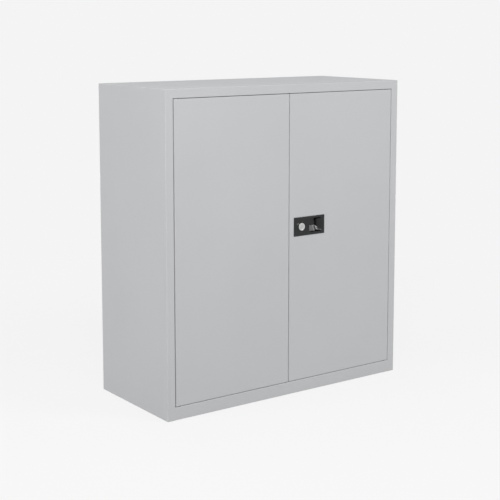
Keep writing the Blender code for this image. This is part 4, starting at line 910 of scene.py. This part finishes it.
def shelf_and_rib():
    """The shelf, a shallow tray upside down, and the top-hat rib under its middle."""
    section = [(FOLD_START, 0.0), (0.0, 0.0), (0.0, SHELF_DEPTH), (SHELF_RETURN, SHELF_DEPTH)]
    plate = tray(SHELF_LOW, SHELF_HIGH, section, SHELF_SHEET, [0.0], [0.0])
    plate = in_place(plate, (0, 1, 2), (1, 1, -1), (0, 0, SHELF_TOP))
    painted("shelf_tray", [plate], "shelf", "shelf")
    line = hat(RIB_FRONT, RIB_REAR, RIB_FOOT, RIB_FOOT_LEVEL, RIB_CROWN_LEVEL)
    rib = folded_sheet(line, [-RIB_HALF, RIB_HALF], "x", SHELF_SHEET)
    painted("shelf_rib", [rib], "shelf", "shelf_stiffener")


# Handle and lock


def angles_about(ring, centre):
    offset = ring - centre
    return np.arctan2(offset[:, 1], offset[:, 0])


def ray_outline(outline, centre, angle):
    """Where rays from the centre meet a closed outline: its distance, read off by angle."""
    reach = np.hypot(*(outline - centre).T)
    reach = np.interp(angle, angles_about(outline, centre), reach, period=2 * math.pi)
    return centre + reach[:, None] * np.stack([np.cos(angle), np.sin(angle)], axis=1)


def level_ring(ring, level):
    """A flat ring of (x, z) at one y."""
    return np.stack([ring[:, 0], np.full(len(ring), level), ring[:, 1], np.zeros(len(ring))], axis=-1)


def closed_in(rings, shares):
    """Rings joined into a surface that more rings close, each the given share of the last one."""
    middle = rings[-1].mean(axis=0)
    return loft(np.stack(rings + [middle + (rings[-1] - middle) * share for share in shares]))


def plate_border(a, b):
    """The plate's edge: from the panel down a wide bevel to a thin wall, and back under it as far in."""
    section = [(PANEL_INSET, PANEL_FACE), (BEVEL_INSET, PANEL_FACE), (0.0, PLATE_WALL_FRONT)]
    section += [(0.0, PLATE_REAR), (PANEL_INSET, PLATE_REAR)]
    rings = []
    for inset, level in folded_line(section, 0.0, PLATE_RADII, PLATE_MARGIN)[0]:
        corner = PLATE_CORNER * (1 - inset / PANEL_INSET)
        ring = rounded_ring(PLATE_LOW + inset, PLATE_HIGH - inset, corner, PLATE_CORNER_STEPS, a, b)
        rings.append(level_ring(ring, level))
    return loft(np.stack(rings))


def lock_zone(rectangle):
    """The panel round the lock: flat to the collar, over its rim, down the bore, and over the rear boss.

    The flat joins each point of the rectangle to the point of the circle on the same ray.
    """
    section = [(COLLAR_START, PANEL_FACE), (COLLAR_FOOT, PANEL_FACE), (COLLAR_EDGE, COLLAR_FACE)]
    section += [(COLLAR_MOUTH, COLLAR_FACE), LEDGE_RIM, (LEDGE_RADIUS, PANEL_FACE)]
    section += [(BORE_RADIUS, PANEL_FACE), (BORE_RADIUS, BOSS_REAR), (BOSS_RADIUS, BOSS_REAR)]
    section += [(BOSS_RADIUS, PLATE_REAR), (BOSS_END, PLATE_REAR)]
    line = folded_line(section, 0.0, COLLAR_RADII, TURN_MARGIN)[0]
    rings = circles(line, LOCK_MIDDLE, "y", angles_about(rectangle, LOCK_MIDDLE))
    front = level_ring(rectangle, PANEL_FACE)
    flat = [front + (rings[0] - front) * share for share in FLAT_SHARES]
    return loft(np.stack([*flat, *rings, level_ring(rectangle, PLATE_REAR)]))


def recess_ring(angle, depths, tucks, corner, grow=0.0):
    """A ring round the finger recess at a depth of its own on each side.

    Each side moves in by its slope times its share of the whole depth, and by its tuck. Between the sides
    the depth passes from one to the next. depths and tucks hold one number for all four sides, or a number
    each for the far side, the roof, the near side and the floor.
    """
    inward = RECESS_SLOPES * depths / RECESS_DEPTH + tucks
    low = MOUTH_LOW + inward[2:] - grow
    high = MOUTH_HIGH - inward[:2] + grow
    a, b = np.linspace(low + corner, high - corner, MOUTH_STATIONS).T
    outline = rounded_ring(low, high, corner, MOUTH_CORNER_STEPS, a, b)
    ring = level_ring(ray_outline(outline, RECESS_MIDDLE, angle), PANEL_FACE)
    depths = np.repeat(np.broadcast_to(depths, 4), 2)
    ring[:, 1] += np.interp(angle, RECESS_TURNS, depths, period=2 * math.pi)
    return ring


def recess_zone(rectangle):
    """The panel round the recess, its rounded mouth, its sloping walls and their foot, closed at the bottom.

    The mouth turns on a quarter of an ellipse: out (1 - sin a) across and deep (1 - cos a) down. A foot
    runs by equal shares both ways where its bow is 0, and by sin a down and 1 - cos a across where it is 1.
    """
    angle = angles_about(rectangle, RECESS_MIDDLE)
    rings = [level_ring(rectangle, PANEL_FACE)]
    for turn in np.linspace(0.0, QUARTER, MOUTH_STEPS):
        out = MOUTH_OUTS * (1 - math.sin(turn))
        rings.append(recess_ring(angle, MOUTH_DEPTHS * (1 - math.cos(turn)), -out, MOUTH_CORNER + out[1]))
    foot = RECESS_DEPTH - RECESS_ROUNDS
    for share in np.linspace(0.0, 1.0, WALL_STEPS)[1:-1]:
        rings.append(recess_ring(angle, MOUTH_DEPTHS + (foot - MOUTH_DEPTHS) * share, 0.0, MOUTH_CORNER))
    for share in np.linspace(0.0, 1.0, FOOT_STEPS):
        turn = share * QUARTER
        down = share + RECESS_BOWS * (math.sin(turn) - share)
        across = share + RECESS_BOWS * (1 - math.cos(turn) - share)
        deep = RECESS_DEPTH - RECESS_ROUNDS * (1 - down)
        rings.append(recess_ring(angle, deep, RECESS_TUCKS * across, MOUTH_CORNER))
    return closed_in(rings, BOTTOM_SHARES)


def cup_zone(rectangle):
    """The outside of the recess behind the plate, one wall out from the inside, with its end rounded."""
    angle = angles_about(rectangle, RECESS_MIDDLE)
    corner = MOUTH_CORNER + RECESS_WALL
    root = PLATE_REAR - PANEL_FACE
    rings = [level_ring(rectangle, PLATE_REAR), recess_ring(angle, root, 0.0, corner, RECESS_WALL)]
    for turn in np.linspace(0.0, QUARTER, CUP_STEPS):
        deep = RECESS_DEPTH + RECESS_WALL - CUP_EDGE * (1 - math.sin(turn))
        tuck = CUP_EDGE * (1 - math.cos(turn))
        rings.append(recess_ring(angle, deep, tuck, corner, RECESS_WALL))
    return closed_in(rings, CUP_SHARES)


def rounded_block(low, high, edge):
    """A block with rounded edges: level rings whose inset and height follow a quarter arc at each end."""
    turn = np.linspace(0.0, QUARTER, HOOK_STEPS + 1)
    inset = edge * (1 - np.sin(turn))
    rise = edge * (1 - np.cos(turn))
    levels = np.concatenate([low[1] + rise, high[1] - rise[::-1]])
    rings = []
    for tuck, level in zip(np.concatenate([inset, inset[::-1]]), levels):
        near = low[[0, 2]] + tuck
        far = high[[0, 2]] - tuck
        middle = (near + far) / 2
        rings.append(level_ring(rounded_ring(near, far, edge, HOOK_STEPS, middle[:1], middle[1:]), level))
    return shell(loft(np.stack(rings), first=True, last=True))


def handle_moulding():
    """The black moulding: plate, lock collar, finger recess, and the posts and hook that hold it."""
    low = PLATE_LOW + PANEL_INSET
    high = PLATE_HIGH - PANEL_INSET
    up = np.linspace(low[1], high[1], ZONE_STATIONS)
    near = np.linspace(low[0], ZONE_LINE, ZONE_STATIONS)
    far = np.linspace(ZONE_LINE, high[0], ZONE_STATIONS)
    border = plate_border(np.concatenate([near, far[1:]]), up)
    left = rounded_ring(low, (ZONE_LINE, high[1]), 0.0, 0, near[1:-1], up[1:-1])
    right = rounded_ring((ZONE_LINE, low[1]), high, 0.0, 0, far[1:-1], up[1:-1])
    shells = [shell(border, lock_zone(left), recess_zone(right), cup_zone(right))]
    for level in POST_LEVELS:
        shells.append(rod((POST_X, level), "y", POST_RADIUS, POST_FRONT, POST_REAR, POST_EDGE))
    shells.append(rounded_block(HOOK_LOW, HOOK_HIGH, HOOK_EDGE))
    finished(mesh_object("handle_moulding", shells), "right_door", "black_moulding", "handle_housing")


def lock_body():
    """The lock's case, a turned ring: a dished face with a raised edge, a tube, and the barrel's hole."""
    start = (DISH_INSIDE[0], TUBE_MIDDLE)
    section = [start, DISH_INSIDE, DISH_OUTSIDE, (LOCK_EDGE, LOCK_FACE), (LOCK_RADIUS, LOCK_FACE)]
    section += [(LOCK_RADIUS, LOCK_FLANGE_REAR), (TUBE_RADIUS, LOCK_FLANGE_REAR), (TUBE_RADIUS, TUBE_REAR)]
    section += [(DISH_INSIDE[0], TUBE_REAR), start]
    case = turned(section, LOCK_MIDDLE, "y", LOCK_RADII)
    finished(mesh_object("lock_body", [case]), "right_door", "nickel_plate", "lock_case")


def lock_barrel():
    """The barrel, turned. Each ray from its middle joins the round face to the keyway's outline."""
    angle = np.arange(2 * TURN_COUNT) * math.pi / TURN_COUNT
    section = [(0.0, BARREL_REAR), (BARREL_RADIUS, BARREL_REAR), (BARREL_RADIUS, BARREL_FACE)]
    section += [(BARREL_FLAT, BARREL_FACE)]
    line = folded_line(section, 0.0, BARREL_RADII, TURN_MARGIN)[0]
    rings = [*circles(line, LOCK_MIDDLE, "y", angle)]
    for grow, level in KEYWAY_RINGS:
        low = LOCK_MIDDLE - KEYWAY_HALF - grow
        high = LOCK_MIDDLE + KEYWAY_HALF + grow
        a, b = [np.linspace(low[i], high[i], KEYWAY_STATIONS[i]) for i in (0, 1)]
        outline = rounded_ring(low, high, 0.0, 1, a, b)
        rings.append(level_ring(ray_outline(outline, LOCK_MIDDLE, angle), level))
    barrel = shell(loft(np.stack(rings), last=True))
    finished(mesh_object("lock_barrel_keyed", [barrel]), "lock", "nickel_plate", "lock_barrel")


# Fittings


def softened(node, width):
    """A CAD node's own shape, its triangles welded, its flats joined, and its edges broken by a bevel."""
    source = frame["nodes"][node].data
    points = np.zeros(3 * len(source.vertices))
    source.vertices.foreach_get("co", points)
    corners = np.zeros(len(source.loops), np.int64)
    source.loops.foreach_get("vertex_index", corners)
    points, index = welded(points.reshape(-1, 3))
    triangles = index[corners].reshape(-1, 3)
    whole = (triangles != np.roll(triangles, 1, axis=1)).all(axis=1)
    mesh = bpy.data.meshes.new(node + "_finished")
    mesh.from_pydata(points.tolist(), [], triangles[whole].tolist())
    mesh.update()
    obj = shown(node + "_finished", mesh)
    flats = obj.modifiers.new("flats", "DECIMATE")
    flats.decimate_type = "DISSOLVE"
    flats.angle_limit = FLAT_ANGLE
    edges = obj.modifiers.new("edges", "BEVEL")
    edges.width = width
    edges.segments = EDGE_SEGMENTS
    edges.limit_method = "ANGLE"
    edges.angle_limit = EDGE_ANGLE
    edges.harden_normals = True
    return obj


def fittings():
    """Every node that no piece above stands for, with its edges softened."""
    record = frame["record"]
    body_of = {node: body for body, nodes in record["behaviour"]["bodies"].items() for node in nodes}
    slot_of = {part["node"]: part["material_slot"] for part in record["subparts"]}
    for node in sorted(frame["nodes"]):
        if node not in dressed:
            width = SHEET_EDGE if slot_of[node] == "grey_powder_coat" else FITTING_EDGE
            finished(softened(node, width), body_of[node], slot_of[node], node)


# Studio


def seen_ray(tree):
    """1 where a ray comes from the camera, a glossy surface or a clear one."""
    path = added(tree, "ShaderNodeLightPath", {})
    first = combined(tree, path["Is Camera Ray"], path["Is Glossy Ray"], "MAXIMUM")
    return combined(tree, first, path["Is Transmission Ray"], "MAXIMUM")


def grey(level):
    return (level, level, level, 1.0)


def one_grey(tree, kind, level):
    """A shader of one even grey."""
    return added(tree, kind, {"Color": grey(level)})[0]


def mixed(tree, factor, under, upper):
    """One shader laid over another by a factor."""
    return added(tree, "ShaderNodeMixShader", {0: factor, 1: under, 2: upper})["Shader"]


def studio_world():
    """Even light from all round, and the pale background where it is seen."""
    world = bpy.data.worlds.new("studio")
    bpy.context.scene.world = world
    world.use_nodes = True
    tree = world.node_tree
    light = tree.nodes["Background"]
    set_inputs(light, {"Color": grey(1.0), "Strength": WORLD_LIGHT})
    backdrop = one_grey(tree, "ShaderNodeBackground", BACKGROUND)
    surface = mixed(tree, seen_ray(tree), light.outputs["Background"], backdrop)
    set_inputs(tree.nodes["World Output"], {"Surface": surface})


def floor_finish():
    """A pale floor that takes the shadow, and blends into the backdrop away from the object."""
    material, tree, place = new_material("studio_floor")
    tree.nodes.remove(tree.nodes["Principled BSDF"])
    shadow = one_grey(tree, "ShaderNodeBsdfDiffuse", FLOOR_SHADOW)
    lift = one_grey(tree, "ShaderNodeEmission", FLOOR_LIFT)
    near = added(tree, "ShaderNodeAddShader", {0: shadow, 1: lift})["Shader"]
    far = one_grey(tree, "ShaderNodeEmission", BACKGROUND)
    seen = mixed(tree, spread(tree, distance(tree, place), 0.0, 1.0, *FLOOR_FADE), near, far)
    matt = one_grey(tree, "ShaderNodeBsdfDiffuse", FLOOR_COLOUR)
    surface = mixed(tree, seen_ray(tree), matt, seen)
    set_inputs(tree.nodes["Material Output"], {"Surface": surface})
    return material


def studio_floor():
    """A flat floor, a grid of points just under the plinth."""
    place = np.linspace(-FLOOR_HALF, FLOOR_HALF, FLOOR_POINTS)
    points = flat_grid(place, place, FLOOR_LEVEL)[..., :3].reshape(-1, 3)
    cells = grid_cells(FLOOR_POINTS, FLOOR_POINTS, False).reshape(-1, 4)
    mesh = bpy.data.meshes.new("studio_floor")
    mesh.from_pydata(points.tolist(), [], cells.tolist())
    mesh.materials.append(floor_finish())
    in_scene("studio_floor", mesh)


def soft_lamp(name, place, aim, size, power):
    """A soft lamp that faces its aim, a rectangle that the camera doesn't see."""
    lamp = bpy.data.lights.new(name, "AREA")
    lamp.shape = "RECTANGLE"
    lamp.size, lamp.size_y = size
    lamp.energy = power
    obj = in_scene(name, lamp)
    obj.location = place
    obj.rotation_euler = (Vector(aim) - Vector(place)).to_track_quat("-Z", "Y").to_euler()
    obj.visible_camera = False


def camera():
    """Camera in front, to the left and above, aimed a little down."""
    lens = bpy.data.cameras.new("camera")
    lens.lens = CAMERA_LENS
    lens.sensor_width = CAMERA_SENSOR
    lens.shift_y = CAMERA_SHIFT
    lens.clip_end = CAMERA_REACH
    obj = in_scene("camera", lens)
    obj.location = CAMERA_PLACE
    obj.rotation_euler = [math.radians(angle) for angle in CAMERA_TURN]
    bpy.context.scene.camera = obj


makers = (grey_powder_coat, zinc_plated_steel, black_moulding, nickel_plate, white_nylon, black_rubber)
finishes = {make.__name__: material_from(make) for make in makers}
dressed = set()

side_sheets()
lid()
floor_and_plinth()
door_stops()
uprights()
door_skins()
door_stiffeners()
shelf_and_rib()
handle_moulding()
lock_body()
lock_barrel()
fittings()

studio_world()
studio_floor()
for name, lamp in LAMPS.items():
    soft_lamp(name, *lamp)
camera()
bpy.context.scene.view_settings.view_transform = "Standard"
